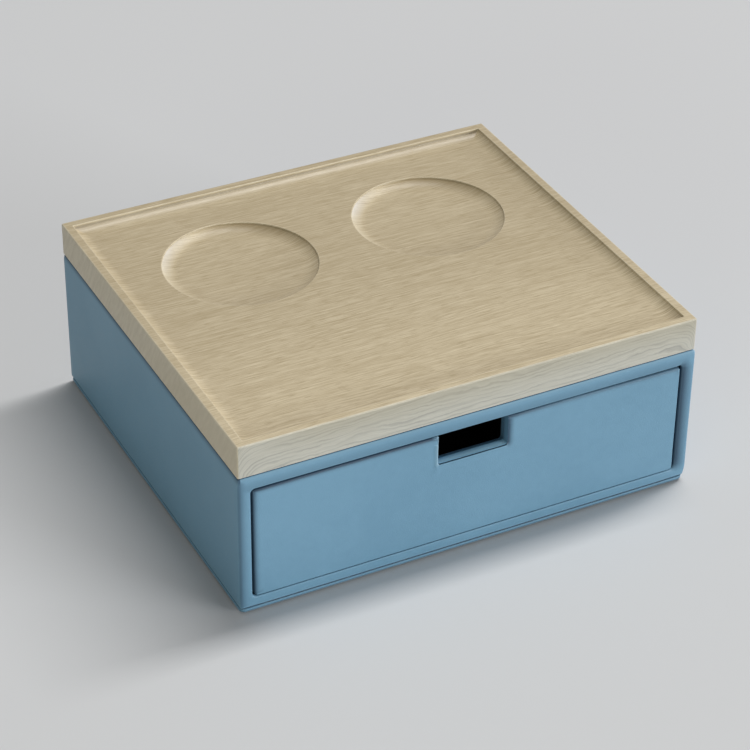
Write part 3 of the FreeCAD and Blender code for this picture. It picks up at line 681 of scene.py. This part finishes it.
def turn_cup(shape, middle, floor):
    """A round recess in loops, from the tray's floor down; returns the outermost loop."""
    around = 112

    def loop(radius, z, wear_and_painted_light=0.0, lit=0.0, shaded=0.0):
        """Lit paints a highlight on the back left wall; shaded paints shade on the back right
        wall and a little painted light on the near wall."""
        angles = [2 * math.pi * n / around for n in range(around)]
        tones = []
        for a in angles:
            pale = max(0.0, -math.cos(a + CUP_LIT_TURN)) ** 2
            dark = 0.3 * max(0.0, -math.sin(a)) - max(0.0, math.cos(a - CUP_SHADE_TURN)) ** 2
            tones.append(wear_and_painted_light + lit * pale + shaded * dark)
        return shape.loop([(middle + radius * math.cos(a), CUP_Y + radius * math.sin(a), z)
                           for a in angles], tones)

    outer = CUP_RADIUS + CUP_EDGE
    loops = [loop(outer + 0.3, floor)]
    edge = quarter((outer, floor), (CUP_RADIUS, floor - CUP_EDGE), (CUP_RADIUS, floor), 3)
    # the cup's edge paler: scuffing with a painted highlight
    for radius, z in edge:
        loops.append(loop(radius, z, 0.5))
    wall_foot, low = floor - CUP_STEP, floor - CUP_DEPTH
    loops.append(loop(CUP_RADIUS, wall_foot + 0.1))
    steps, pale_steps = 10, 8
    places = cove((CUP_RADIUS, wall_foot), (CUP_RADIUS - CUP_COVE, low), steps)
    for number, (radius, z) in enumerate(places):
        lit = CUP_LIT * max(0.0, 1 - number / pale_steps)
        loops.append(loop(radius, z, 0.0, lit, CUP_SHADE * (1 - number / steps)))
    for radius in (CUP_RADIUS - CUP_COVE - 0.5, *CUP_FLOOR_RINGS):
        loops.append(loop(radius, low))
    shape.sweep(loops)
    shape.cap(loops[-1])
    return loops[0]


# ---- case covering ----

def slack(place, size=0.05):
    """A slow unevenness of a glued skin, in millimetres."""
    return abs(size * noise.noise(place * 0.028) + size * 0.5 * noise.noise(place * 0.075))


def ramp(value, low, high):
    """A smooth step from 0 to 1."""
    share = min(max((value - low) / (high - low), 0.0), 1.0)
    return share * share * (3 - 2 * share)


def frame_ring(grow, y, columns, rows):
    """The opening's outline, grown by an amount, with one point for each of the face's rim."""
    middle, half = (OPENING_HIGH + OPENING_LOW) / 2, (OPENING_HIGH - OPENING_LOW) / 2
    flat = ring(OPENING_HALF + grow, half + grow, FRAME_CORNER + grow, columns, rows,
                2 * CORNER_STEPS)
    return [(x, y, middle + z) for x, z in flat]


def align(points, outside):
    """The same closed row of points, started at the one next to where the outside row starts."""
    count = len(points)
    start = min(range(count), key=lambda n: (Vector(points[n]) - Vector(outside[0])).length)
    best, least = 0, None
    for shift in range(start - CORNER_STEPS, start + CORNER_STEPS + 1):
        pairs = zip(range(0, count, 7), (n + shift for n in range(0, count, 7)))
        total = sum((Vector(points[m % count]) - Vector(outside[n])).length for n, m in pairs)
        if least is None or total < least:
            best, least = shift, total
    return [points[(n + best) % count] for n in range(count)]


def stile_painted_shade(x, y, z):
    """Painted shade beside the opening's right edge, on the near left corner and over the
    opening's top edge."""
    if y > -HALF_DEPTH + 2.5:
        return 0.0
    upright = ramp(z, 7.0, 13.0) * (1 - ramp(z, 73.0, 79.0))
    right = 0.0
    if x > 123.0:
        right = RIGHT_TONE * min(max(0.0, (129.6 - x) / 4.8), 1.0) ** 1.1 * upright
    forward = 1 - ramp(y, -HALF_DEPTH, -HALF_DEPTH + 0.7)
    left = LEFT_TONE * min(max(0.0, (-126.0 - x) / 4.0), 1.0) * forward
    above = ABOVE_TONE * (1 - ramp(z, 77.0, 82.5)) * ramp(z, 75.0, 76.5)
    above *= ramp(abs(x), 128.0, 125.0)
    return -right - left - above


def make_case_skin(material):
    """The covering: up the walls, drawn in under the tray, and rolled back into the opening."""
    shape = Shape()
    reach = HALF_WIDTH - SKIN_CORNER[0]
    inner_x = OPENING_HALF - FRAME_CORNER
    foot, top = SKIN_LOW.z, SKIN_HIGH.z
    low, high = foot + SKIN_FOOT, top - SKIN_SHOULDER
    low_tangent, high_tangent = OPENING_LOW + FRAME_CORNER, OPENING_HIGH - FRAME_CORNER
    right_part = [inner_x + (reach - inner_x) * share for share in FRAME_SHARES]
    inner_columns = spaced(-inner_x, inner_x, 4.0)
    columns = [-x for x in reversed(right_part)] + inner_columns + right_part
    inner_levels = spaced(low_tangent, high_tangent, 3.6)
    levels = ([low + (low_tangent - low) * share for share in FOOT_SHARES] + inner_levels
              + [high_tangent + (high - high_tangent) * share for share in FRAME_SHARES])
    column_shares, rows = [x / reach for x in columns], shares(4)
    grid = [[2 * n / (len(row) - 1) - 1 for n in range(len(row))]
            for row in (inner_columns, inner_levels)]

    def loop(inset, z, wear_and_painted_light=0.0, left_light_and_shade=None):
        radius = [max(r - inset, 0.4) for r in SKIN_CORNER]
        flat = ring(HALF_WIDTH - inset, HALF_DEPTH - inset, radius[0], column_shares, rows, 8,
                    radius[1])
        on_left = wear_and_painted_light if left_light_and_shade is None else left_light_and_shade
        tones = [on_left if x < -HALF_WIDTH + 1.6 else wear_and_painted_light for x, _ in flat]
        return shape.loop([(x, y, z) for x, y in flat],
                          [tone + stile_painted_shade(x, y, z) for tone, (x, y) in zip(tones, flat)])

    # painted shade in the groove over the base; the foot's roll a little paler
    lower = [loop(GROOVE_INSET, BASE_HIGH.z + 0.02, -1.0), loop(GROOVE_INSET, foot + 0.02, -0.8)]
    lower += [loop(inset, z, 0.3) for inset, z in
              quarter((SKIN_FOOT, foot), (0, low), (0, foot), 4)]
    walls = [lower[-1]] + [loop(0, z) for z in levels[1:]]
    upper = [walls[-1]]
    rolled = top - SEAM_DROP
    roll = quarter((0, high), (SKIN_TUCK, rolled), (0, rolled), 8)
    for (inset, z), tone, left_tone in zip(roll[1:], ROLL_TONE, ROLL_TONE_LEFT):
        upper.append(loop(inset, z, tone, left_tone))
    # painted shade in the seam under the tray
    upper += [loop(SKIN_TUCK + 0.1, rolled + 0.2, -1.0), loop(SKIN_TUCK + 0.2, top, -1.0),
              loop(1.8, top, -1.0), loop(4.0, top, -1.0), loop(TURN_IN, top)]
    shape.sweep(lower)
    shape.sweep(walls, skip=range(len(columns) - 1))
    shape.sweep(upper)

    last = len(columns) - 1
    rim = (walls[0][:last] + [row[last] for row in walls[:-1]]
           + [walls[-1][n] for n in range(last, 0, -1)] + [row[0] for row in reversed(walls[1:])])
    outside = [shape.points[n] for n in rim]
    face_y = -HALF_DEPTH
    inside = align(frame_ring(SKIN_BEND, face_y, *grid), outside)
    face = [rim]
    for share in (0.14, 0.5, 0.86):
        row = [Vector(a).lerp(Vector(b), share) for a, b in zip(outside, inside)]
        face.append(shape.loop(row, [stile_painted_shade(*point) for point in row]))
    bend = quarter((SKIN_BEND, face_y), (0, face_y + SKIN_SINK), (0, face_y), 8)
    for (grow, y), tone in zip(bend, FRAME_BEND_TONE):
        row = align(frame_ring(grow, y, *grid), outside)
        wear_and_painted_light = [tone * (0.2 if z < OPENING_LOW + 1 else 1.0) + stile_painted_shade(x, y, z)
                for x, y, z in row]
        face.append(shape.loop(row, [max(value, -1.0) for value in wear_and_painted_light]))
    # painted shade inside the opening, lighter along its bottom
    lip = ((face_y + SKIN_SINK + 0.5, -0.45), (face_y + 4.0, -0.8), (face_y + 8.0, -1.0),
           (LIP_BACK, -1.0))
    for y, low_tone in lip:
        row = align(frame_ring(0, y, *grid), outside)
        face.append(shape.loop(row, [low_tone if z < OPENING_LOW + 1 else -1.0
                                     for _, _, z in row]))
    shape.sweep(face)

    def move(point):
        """Slow unevenness, the swell of the right wall, small puckers at the opening's lower
        corners, stiles drawn back beside the opening, and its left and top edges moved in."""
        pull = slack(point)
        point.x += (SKIN_SWELL * ramp(point.x, HALF_WIDTH - 3.0, HALF_WIDTH - 0.6)
                    * ramp(point.z, foot, foot + 5.0) * (1 - ramp(point.z, top - 2.5, top - 1.0)))
        if abs(point.y) < HALF_DEPTH - 2:
            if abs(point.x) > HALF_WIDTH - 1:
                point.x -= math.copysign(pull, point.x)
            return point
        if point.y > 0:
            point.y -= pull * 0.6
            return point
        x, z = point.x, point.z
        corner_x, corner_z = abs(x) - inner_x, z - low_tangent
        out = math.hypot(corner_x, corner_z)
        if 2.0 < out < 7.0 and corner_x > -0.6 and corner_z < 0.6:
            fade = math.exp(-((out - 4.3) / 1.1) ** 2)
            pull += PUCKER * fade * max(0.0, math.cos(math.atan2(corner_z, corner_x) * 9.0 + 0.6))
        depth = point.y - face_y
        upright = ramp(z, 6.0, 13.0) * (1 - ramp(z, 74.0, 80.0))
        drawn = RIGHT_DRAWN * (max(0.0, 128.8 - x) / 4.2) ** 1.9
        drawn *= ramp(x, 121.0, 123.0) * upright
        drawn += (LEFT_DRAWN * (max(0.0, -125.6 - x) / 4.4) ** 2
                  * ramp(z, 4.0, 9.0) * (1 - ramp(z, 77.0, 82.0)))
        near = 1 - ramp(depth, 4.0, 8.0)
        left_edge = ramp(x, -128.0, -124.9) * (1 - ramp(x, -122.5, -119.0))
        top_edge = ramp(z, 73.5, 75.5) * (1 - ramp(z, 77.6, 79.8))
        point.x += EDGE_SHIFT * left_edge * near
        point.z -= EDGE_SHIFT * top_edge * near
        if abs(point.x) < inner_x and point.z < low_tangent and depth < SKIN_SINK + 0.01:
            depth *= 1 - 0.6 * ramp(inner_x - abs(point.x), 0.0, 5.0)
        point.y = face_y + depth + (pull + drawn) * (1 - ramp(depth, 3.0, 6.0))
        return point

    return thicken(shape.piece("case_covering", material, move), SKIN_WALL)


def make_base(material):
    """The covered plate under the case, with rounded edges."""
    shape = Shape()
    columns = rows = shares(5)
    low, high = BASE_LOW.z, BASE_HIGH.z

    def loop(inset, z, wear_and_painted_light=0.0):
        flat = ring(HALF_WIDTH - inset, HALF_DEPTH - inset, BASE_CORNER - inset, columns, rows, 6)
        return shape.loop([(x, y, z) for x, y in flat], wear_and_painted_light)

    loops = [loop(BASE_EDGE + 0.5, low)]
    # painted shade on the plate's lower and upper rolls
    for inset, z in quarter((BASE_EDGE, low), (0, low + BASE_EDGE), (0, low), 4):
        loops.append(loop(inset, z, -0.3))
    for inset, z in quarter((0, high - BASE_EDGE), (BASE_EDGE, high), (0, high), 4):
        loops.append(loop(inset, z, -0.1))
    loops.append(loop(BASE_EDGE + 0.5, high))
    shape.sweep(loops)
    shape.cap(loops[0])
    shape.cap(loops[-1])

    def move(point):
        if abs(point.y) > HALF_DEPTH - 2:
            point.y -= math.copysign(slack(point), point.y)
        return point

    return shape.piece("base_covering", material, move)


# ---- drawer front ----

def notch_path(half, low, corner, top, step=2.5):
    """Down, across and up the notch: each place with the direction into the notch."""
    path = [((-half, -z), (1, 0)) for z in spaced(-top, -(low + corner), step)]

    def turn(middle, start):
        for n in range(1, 5):
            angle = start + math.pi / 2 * n / 5
            place = (middle + corner * math.cos(angle), low + corner + corner * math.sin(angle))
            path.append((place, (-math.cos(angle), -math.sin(angle))))

    turn(-half + corner, math.pi)
    path += [((x, low), (0, 1)) for x in spaced(-half + corner, half - corner, step)]
    turn(half - corner, -math.pi / 2)
    path += [((half, z), (-1, 0)) for z in spaced(low + corner, top, step)]
    return path


def make_drawer_skin(material):
    """The drawer front's covering, over its four edges, cut and turned in at the notch."""
    shape = Shape()
    half_width, top = FRONT_HIGH.x, FRONT_HIGH.z
    half_height, middle = (top - FRONT_LOW.z) / 2, (top + FRONT_LOW.z) / 2
    cut = NOTCH_FACE_HALF
    inner_reach = half_width - PANEL_STEPS[-1] - 0.4
    columns = (spaced(-inner_reach, -cut, 3.0) + spaced(-cut, cut, 3.0)[1:]
               + spaced(cut, inner_reach, 3.0)[1:])
    rows = spaced(-half_height + PANEL_STEPS[-1] + 0.4, half_height - PANEL_STEPS[-1] - 0.4, 3.0)
    face_y, back_y = FRONT_LOW.y, FRONT_HIGH.y

    def loop(inset, y, wear_and_painted_light=0.0, top_painted_shade=None, left_light_and_shade=None):
        radius = PANEL_CORNER - min(inset, 1.5)
        reach = half_width - inset - radius, half_height - inset - radius
        flat = ring(half_width - inset, half_height - inset, radius,
                    [-1.0] + [x / reach[0] for x in columns] + [1.0],
                    [-1.0] + [z / reach[1] for z in rows] + [1.0], PANEL_TURN)
        on_top = wear_and_painted_light if top_painted_shade is None else top_painted_shade
        on_left = wear_and_painted_light if left_light_and_shade is None else left_light_and_shade
        tones = []
        for x, z in flat:
            if z > half_height - inset - 0.6:
                # painted shade beside the notch and along the top, fading to the right
                beside_notch = -0.85 if abs(x - cut) < 0.1 else 0.0
                tones.append(min(on_top * (1 - 0.45 * ramp(x, 0.0, 60.0)), beside_notch))
            else:
                tones.append(on_left if x < -half_width + inset + 0.6 else wear_and_painted_light)
        return shape.loop([(x, y, middle + z) for x, z in flat], tones)

    # painted shade on the flanks in the gap round the drawer front
    loops = [loop(0, back_y, -0.3), loop(0, face_y + 3.4, -0.4), loop(0, face_y + 2.4, -0.5)]
    first_bend = len(loops)
    bend = quarter((0, face_y + PANEL_BEND), (PANEL_BEND, face_y), (0, face_y), 6)
    for (inset, y), tone in zip(bend, PANEL_BEND_TONE):
        loops.append(loop(inset, y, 0.2, tone, tone + 0.15))
    last_bend = len(loops) - 1
    for inset, top_tone, left_tone in zip(PANEL_STEPS, PANEL_TOP_TONE, PANEL_LEFT_TONE):
        loops.append(loop(inset, face_y, 0.0, top_tone, left_tone))
    # a loop starts with the bottom and the right side, each with two ends and a corner
    top_start = len(columns) + len(rows) + 2 * (2 + PANEL_TURN - 1)
    top_side = [None] + [round(-x, 6) for x in columns]
    right = top_start + top_side.index(round(cut, 6))
    left = top_start + top_side.index(round(-cut, 6))
    shape.sweep(loops, skip=range(right, left))

    face_top = top - PANEL_STEPS[-1]
    path = notch_path(cut, NOTCH_FACE_LOW, NOTCH_FACE_CORNER, face_top, 1.5)
    points = [(x, face_y, z) for (x, z), _ in path]
    # a painted highlight on the notch's left edge, painted shade down its right
    edge = shape.loop(points, [0.7 if d[0] > 0.5 else 0.35 - 1.35 * ramp(-d[0], 0.3, 0.9)
                               for _, d in path])
    rim = loops[-1]
    count = len(rim)
    around = [rim[(left + n) % count] for n in range((right - left) % count + 1)]
    outline = around[1:-1] + list(reversed(edge))
    beside = []
    # painted highlight beside the notch's left edge, painted shade right of it
    for away, tone in NOTCH_SHADE:
        row = notch_path(cut + away, NOTCH_FACE_LOW - away, NOTCH_FACE_CORNER + away,
                         face_top - 0.6, 1.3)
        beside.append(shape.loop([(x, face_y, z) for (x, z), _ in row],
                                 [0.45 if d[0] > 0.5 and away < 1.2 else
                                  tone * ramp(-d[0], 0.3, 0.9) for _, d in row]))
    shape.fill(outline, [], (0, 2), spacing=3.0, extra=beside)

    sides = []
    for column, direction in ((left, 1), (right, -1)):
        strip = []
        for number, row in enumerate(loops):
            share = (number - first_bend) / (last_bend - first_bend)
            tilt = min(max(share, 0), 1) * math.pi / 2
            normal = Vector((0, -math.sin(tilt), math.cos(tilt)))
            strip.append((Vector(shape.points[row[column]]), Vector((direction, 0, 0)), normal))
        sides.append(strip)
    down = [(Vector(point), Vector((d[0], 0, d[1])), Vector((0, -1, 0)))
            for point, (_, d) in zip(points, path)]
    whole = sides[0][:-1] + down + list(reversed(sides[1][:-1]))
    turned = []
    on_left = [ramp(d.x, 0.2, 0.9) for _, d, _ in whole]
    on_right = [ramp(-d.x, 0.2, 0.9) for _, d, _ in whole]
    # painted highlight on the left fold, painted shade deeper in and on the right
    for out, depth, wear_and_painted_light, left_light_and_shade in NOTCH_FOLD:
        turned.append(shape.loop(
            [p + d * out * (1 + 1.8 * left) - n * depth * (1 + 1.0 * left)
             for (p, d, n), left in zip(whole, on_left)],
            [wear_and_painted_light + (left_light_and_shade - wear_and_painted_light) * left - (1 + wear_and_painted_light) * right
             for left, right in zip(on_left, on_right)]))
    shape.sweep(turned, closed=False)

    def move(point):
        """Slow unevenness, shifted edges, the left and top edges sunk, parts that stand forward,
        a hollow right of the notch, and a ridge where the covering folds over itself."""
        near = 1 - ramp(point.y, face_y + 1.2, face_y + 2.4)
        lip = 1 - ramp(point.y, face_y + 0.1, face_y + 0.7)
        from_top, from_bottom = top - point.z, point.z - FRONT_LOW.z
        point.z -= (TOP_DOWN + LIP_DOWN * lip) * (1 - ramp(from_top, 0.0, 3.2))
        point.z -= BOTTOM_DOWN * (1 - ramp(from_bottom, 0.0, 3.0))
        x, z = point.x, point.z
        shift = NOTCH_SHIFT * (1 - ramp(abs(x), 24.0, 60.0))
        if near == 0.0:
            point.x += shift
            return point
        from_side = x + half_width
        left_share = max(0.0, 1 - from_side / 4.6)
        top_share = max(0.0, 1 - from_top / 3.6)
        forward = max(LOW_FORWARD * (1 - ramp(z, FRONT_LOW.z, FRONT_LOW.z + 30.0)),
                      LEFT_FORWARD * (1 - ramp(x, -122.0, -85.0)),
                      RIGHT_FORWARD * ramp(x, 50.0, 120.0))
        sink = slack(point, 0.07) + LEFT_SINK * left_share ** 3 + TOP_SINK * top_share ** 2.2
        beside = max(0.0, 1 - abs(x - cut) / 3.2) if x > cut - 1.0 else 0.0
        above_foot = ramp(z, NOTCH_FACE_LOW - 1.5, NOTCH_FACE_LOW + 1.5)
        sink += NOTCH_SINK * beside ** 2.2 * above_foot
        point.x += (SIDES_RIGHT * (1 - ramp(from_side, 0.0, 4.0)) + shift
                    + SIDES_RIGHT * ramp(x, half_width - 4.0, half_width))
        from_left = math.exp(-((x + cut + 0.1) / 1.05) ** 2)
        ridge = RIDGE_LEFT * from_left * ramp(z, NOTCH_LOW - 8.5, NOTCH_LOW - 1.5)
        below = math.exp(-((z - NOTCH_FACE_LOW - 0.1) / 0.8) ** 2)
        ridge += RIDGE_LOW * below * (1 - ramp(abs(x), cut - 1.0, cut + 1.5)) * (1 - from_left)
        point.y += (min(sink, 1.0) - forward - ridge) * near
        return point

    return thicken(shape.piece("drawer_front_covering", material, move), PANEL_WALL)


def make_notch_strip(name, material, outline, section, front, high):
    """A strip of covering folded round the notch, back and up to its highest corner. Each place
    in the section is how far it lies outside the clear notch, how far behind the strip's front,
    and its tone: a painted highlight along the crest and painted shade at the edges. The strip's
    back and right side get painted shade."""
    shape = Shape()
    depth = high.y - front
    closing = [(0, depth, -0.9), (TRIM_THICKNESS, depth, -0.9), (TRIM_THICKNESS, 0.6, -0.9)]
    path = notch_path(*outline, high.z, 1.5)
    # painted shade on the strip's right side
    on_right = [ramp(-d[0], 0.3, 0.9) for _, d in path]
    rows = []
    for out, depth, wear_and_painted_light in section + closing:
        rows.append(shape.loop([(x - d[0] * out + NOTCH_SHIFT, front + depth, z - d[1] * out)
                                for (x, z), d in path],
                               [wear_and_painted_light + (0.2 * wear_and_painted_light - 0.8 - wear_and_painted_light) * right for right in on_right]))
    rows.append(rows[0])
    shape.sweep(rows, closed=False)
    shape.cap([row[0] for row in rows[:-1]])
    shape.cap([row[-1] for row in rows[:-1]])
    return shape.piece(name, material)


# ---- build ----

blue = leather("blue_leatherette", srgb(108, 148, 173), srgb(101, 141, 166), srgb(168, 199, 214))
# the same leatherette made paler: painted light for the strips in the notch's shade
lit_strip_blue = leather("strip_leatherette_painted_light", srgb(122, 172, 205), srgb(114, 164, 198),
                     srgb(160, 206, 232))
ash_wood = ash()
black_nap = microfibre("black_microfibre", srgb(30, 28, 30), srgb(50, 48, 51))
black_board = grained("black_faced_board", 1.6, 4.0, 0.65, ((42, 40, 42), (60, 58, 60)),
                      rough=(0.2, 0.6), relief=(0.05, 0.5), spread=(0.3, 0.7), patch=0.4,
                      Specular_IOR_Level=0.3)
raw_board = grained("raw_fibreboard", 1.1, 4.0, 0.7, ((150, 118, 84), (184, 154, 118)),
                    rough=(0.15, 0.75), relief=(0.08, 0.5), spread=(0.3, 0.7),
                    Specular_IOR_Level=0.25)
foot_rubber = grained("foot_rubber", 1.8, 3.0, 0.6, ((28, 28, 29), (48, 48, 50)),
                      rough=(0.2, 0.62), relief=(0.06, 0.5), Specular_IOR_Level=0.3)
screw_zinc = grained("zinc_steel", (0.8, 0.8, 3.5), 3.0, 0.6,
                     ((176, 176, 172), (214, 213, 208)),
                     rough=(0.2, 0.28), relief=(0.03, 0.4), Metallic=1.0)

tray = make_tray(ash_wood)
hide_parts("tray_top")
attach(tray, "case")

skin = make_case_skin(blue)
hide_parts("case_leather")
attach(skin, "case")

base = make_base(blue)
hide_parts("base_plate")
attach(base, "case")

drawer_skin = make_drawer_skin(blue)
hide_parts("drawer_front_leather")
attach(drawer_skin, "drawer")

strip = make_notch_strip("notch_strip", lit_strip_blue, STRIP_OUTLINE, STRIP_SECTION,
                         FRONT_LOW.y, TRIM_HIGH)
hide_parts("notch_trim")
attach(strip, "drawer")

inner_strip = make_notch_strip("inner_notch_strip", lit_strip_blue, INNER_STRIP_OUTLINE,
                               INNER_STRIP_SECTION, INNER_LOW.y, INNER_HIGH)
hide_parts("inner_notch_trim")
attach(inner_strip, "drawer")

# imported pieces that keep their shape: the material, how far their edges are eased, the nodes
CARRIED = (
    (black_nap, 0.1, ("bay_lining", "drawer_floor_lining")),
    (black_board, 0.3, ("drawer_inner_front", "drawer_left_side", "drawer_right_side",
                        "drawer_back", "drawer_bottom", "divider_across", "divider_left",
                        "divider_right")),
    (raw_board, 0.9, ("case_left_board", "case_right_board", "case_top_board",
                      "case_bottom_board", "case_back_board")),
    (raw_board, 1.3, ("drawer_front_board",)),
    (foot_rubber, 0.1, ("rubber_feet",)),
    (screw_zinc, 0.1, ("tray_screws",)),
)
for material, width, names in CARRIED:
    for name in names:
        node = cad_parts[name]
        node.data.materials.clear()
        node.data.materials.append(material)
        joined = node.modifiers.new("joined", "WELD")
        joined.merge_threshold = 0.01 * MM
        eased = node.modifiers.new("eased_edges", "BEVEL")
        eased.width = width * MM
        eased.segments = 2
        eased.limit_method = "ANGLE"
        eased.angle_limit = math.radians(40)

# ---- floor, light and camera ----

FLOOR_REACH = 6
WORLD_STRENGTH = 0.215
AIM = Vector((0, 0, 0.05))

floor_mesh = bpy.data.meshes.new("floor")
floor_corners = [(x * FLOOR_REACH, y * FLOOR_REACH, 0)
                 for x, y in ((-1, -1), (1, -1), (1, 1), (-1, 1))]
floor_mesh.from_pydata(floor_corners, [], [(0, 1, 2, 3)])
floor = add_object("floor", floor_mesh)
floor_paint = Paint("pale_floor", Roughness=0.6, Specular_IOR_Level=0.2)
floor_paint.set("Base Color", srgb(206, 207, 209))
floor_mesh.materials.append(floor_paint.material)


def area_light(name, place, long_side, short_side, power, colour):
    """A rectangle of light that faces the object, its long side as close to X as that allows."""
    data = bpy.data.lights.new(name, "AREA")
    data.shape = "RECTANGLE"
    data.size, data.size_y = long_side, short_side
    data.energy = power
    data.color = colour
    lamp = add_object(name, data)
    back = (Vector(place) - AIM).normalized()
    along = (Vector((1, 0, 0)) - back * back.x).normalized()
    turn = Matrix((along, back.cross(along), back)).transposed().to_4x4()
    lamp.matrix_world = Matrix.Translation(place) @ turn


area_light("key_light", (2.85, 0.87, 6.2), 5.8, 1.15, 360, (1.0, 0.99, 0.97))
area_light("front_light", (5.2, -6.0, 1.2), 4.4, 1.5, 472, (0.95, 0.98, 1.0))
area_light("left_light", (-2.3, -2.1, 0.65), 1.6, 0.9, 18, (0.96, 1.0, 0.84))

world = bpy.data.worlds.new("studio")
bpy.context.scene.world = world
world.use_nodes = True
background = world.node_tree.nodes["Background"]
background.inputs["Color"].default_value = (1.0, 1.0, 1.0, 1.0)
background.inputs["Strength"].default_value = WORLD_STRENGTH

CAMERA_PLACE = Vector((-534.80, -1047.30, 837.79)) * MM
CAMERA_HEADING = 27.186
CAMERA_TILT = 34.289
CAMERA_ROLL = 0.697
camera_data = bpy.data.cameras.new("camera")
camera_data.lens = 125.74
camera_data.sensor_width = 36.0
camera = add_object("camera", camera_data)
camera.matrix_world = (Matrix.Translation(CAMERA_PLACE)
                       @ Matrix.Rotation(math.radians(-CAMERA_HEADING), 4, "Z")
                       @ Matrix.Rotation(math.radians(90 - CAMERA_TILT), 4, "X")
                       @ Matrix.Rotation(math.radians(CAMERA_ROLL), 4, "Z"))
bpy.context.scene.camera = camera
bpy.context.scene.view_settings.view_transform = "Standard"

bpy.context.view_layer.update()
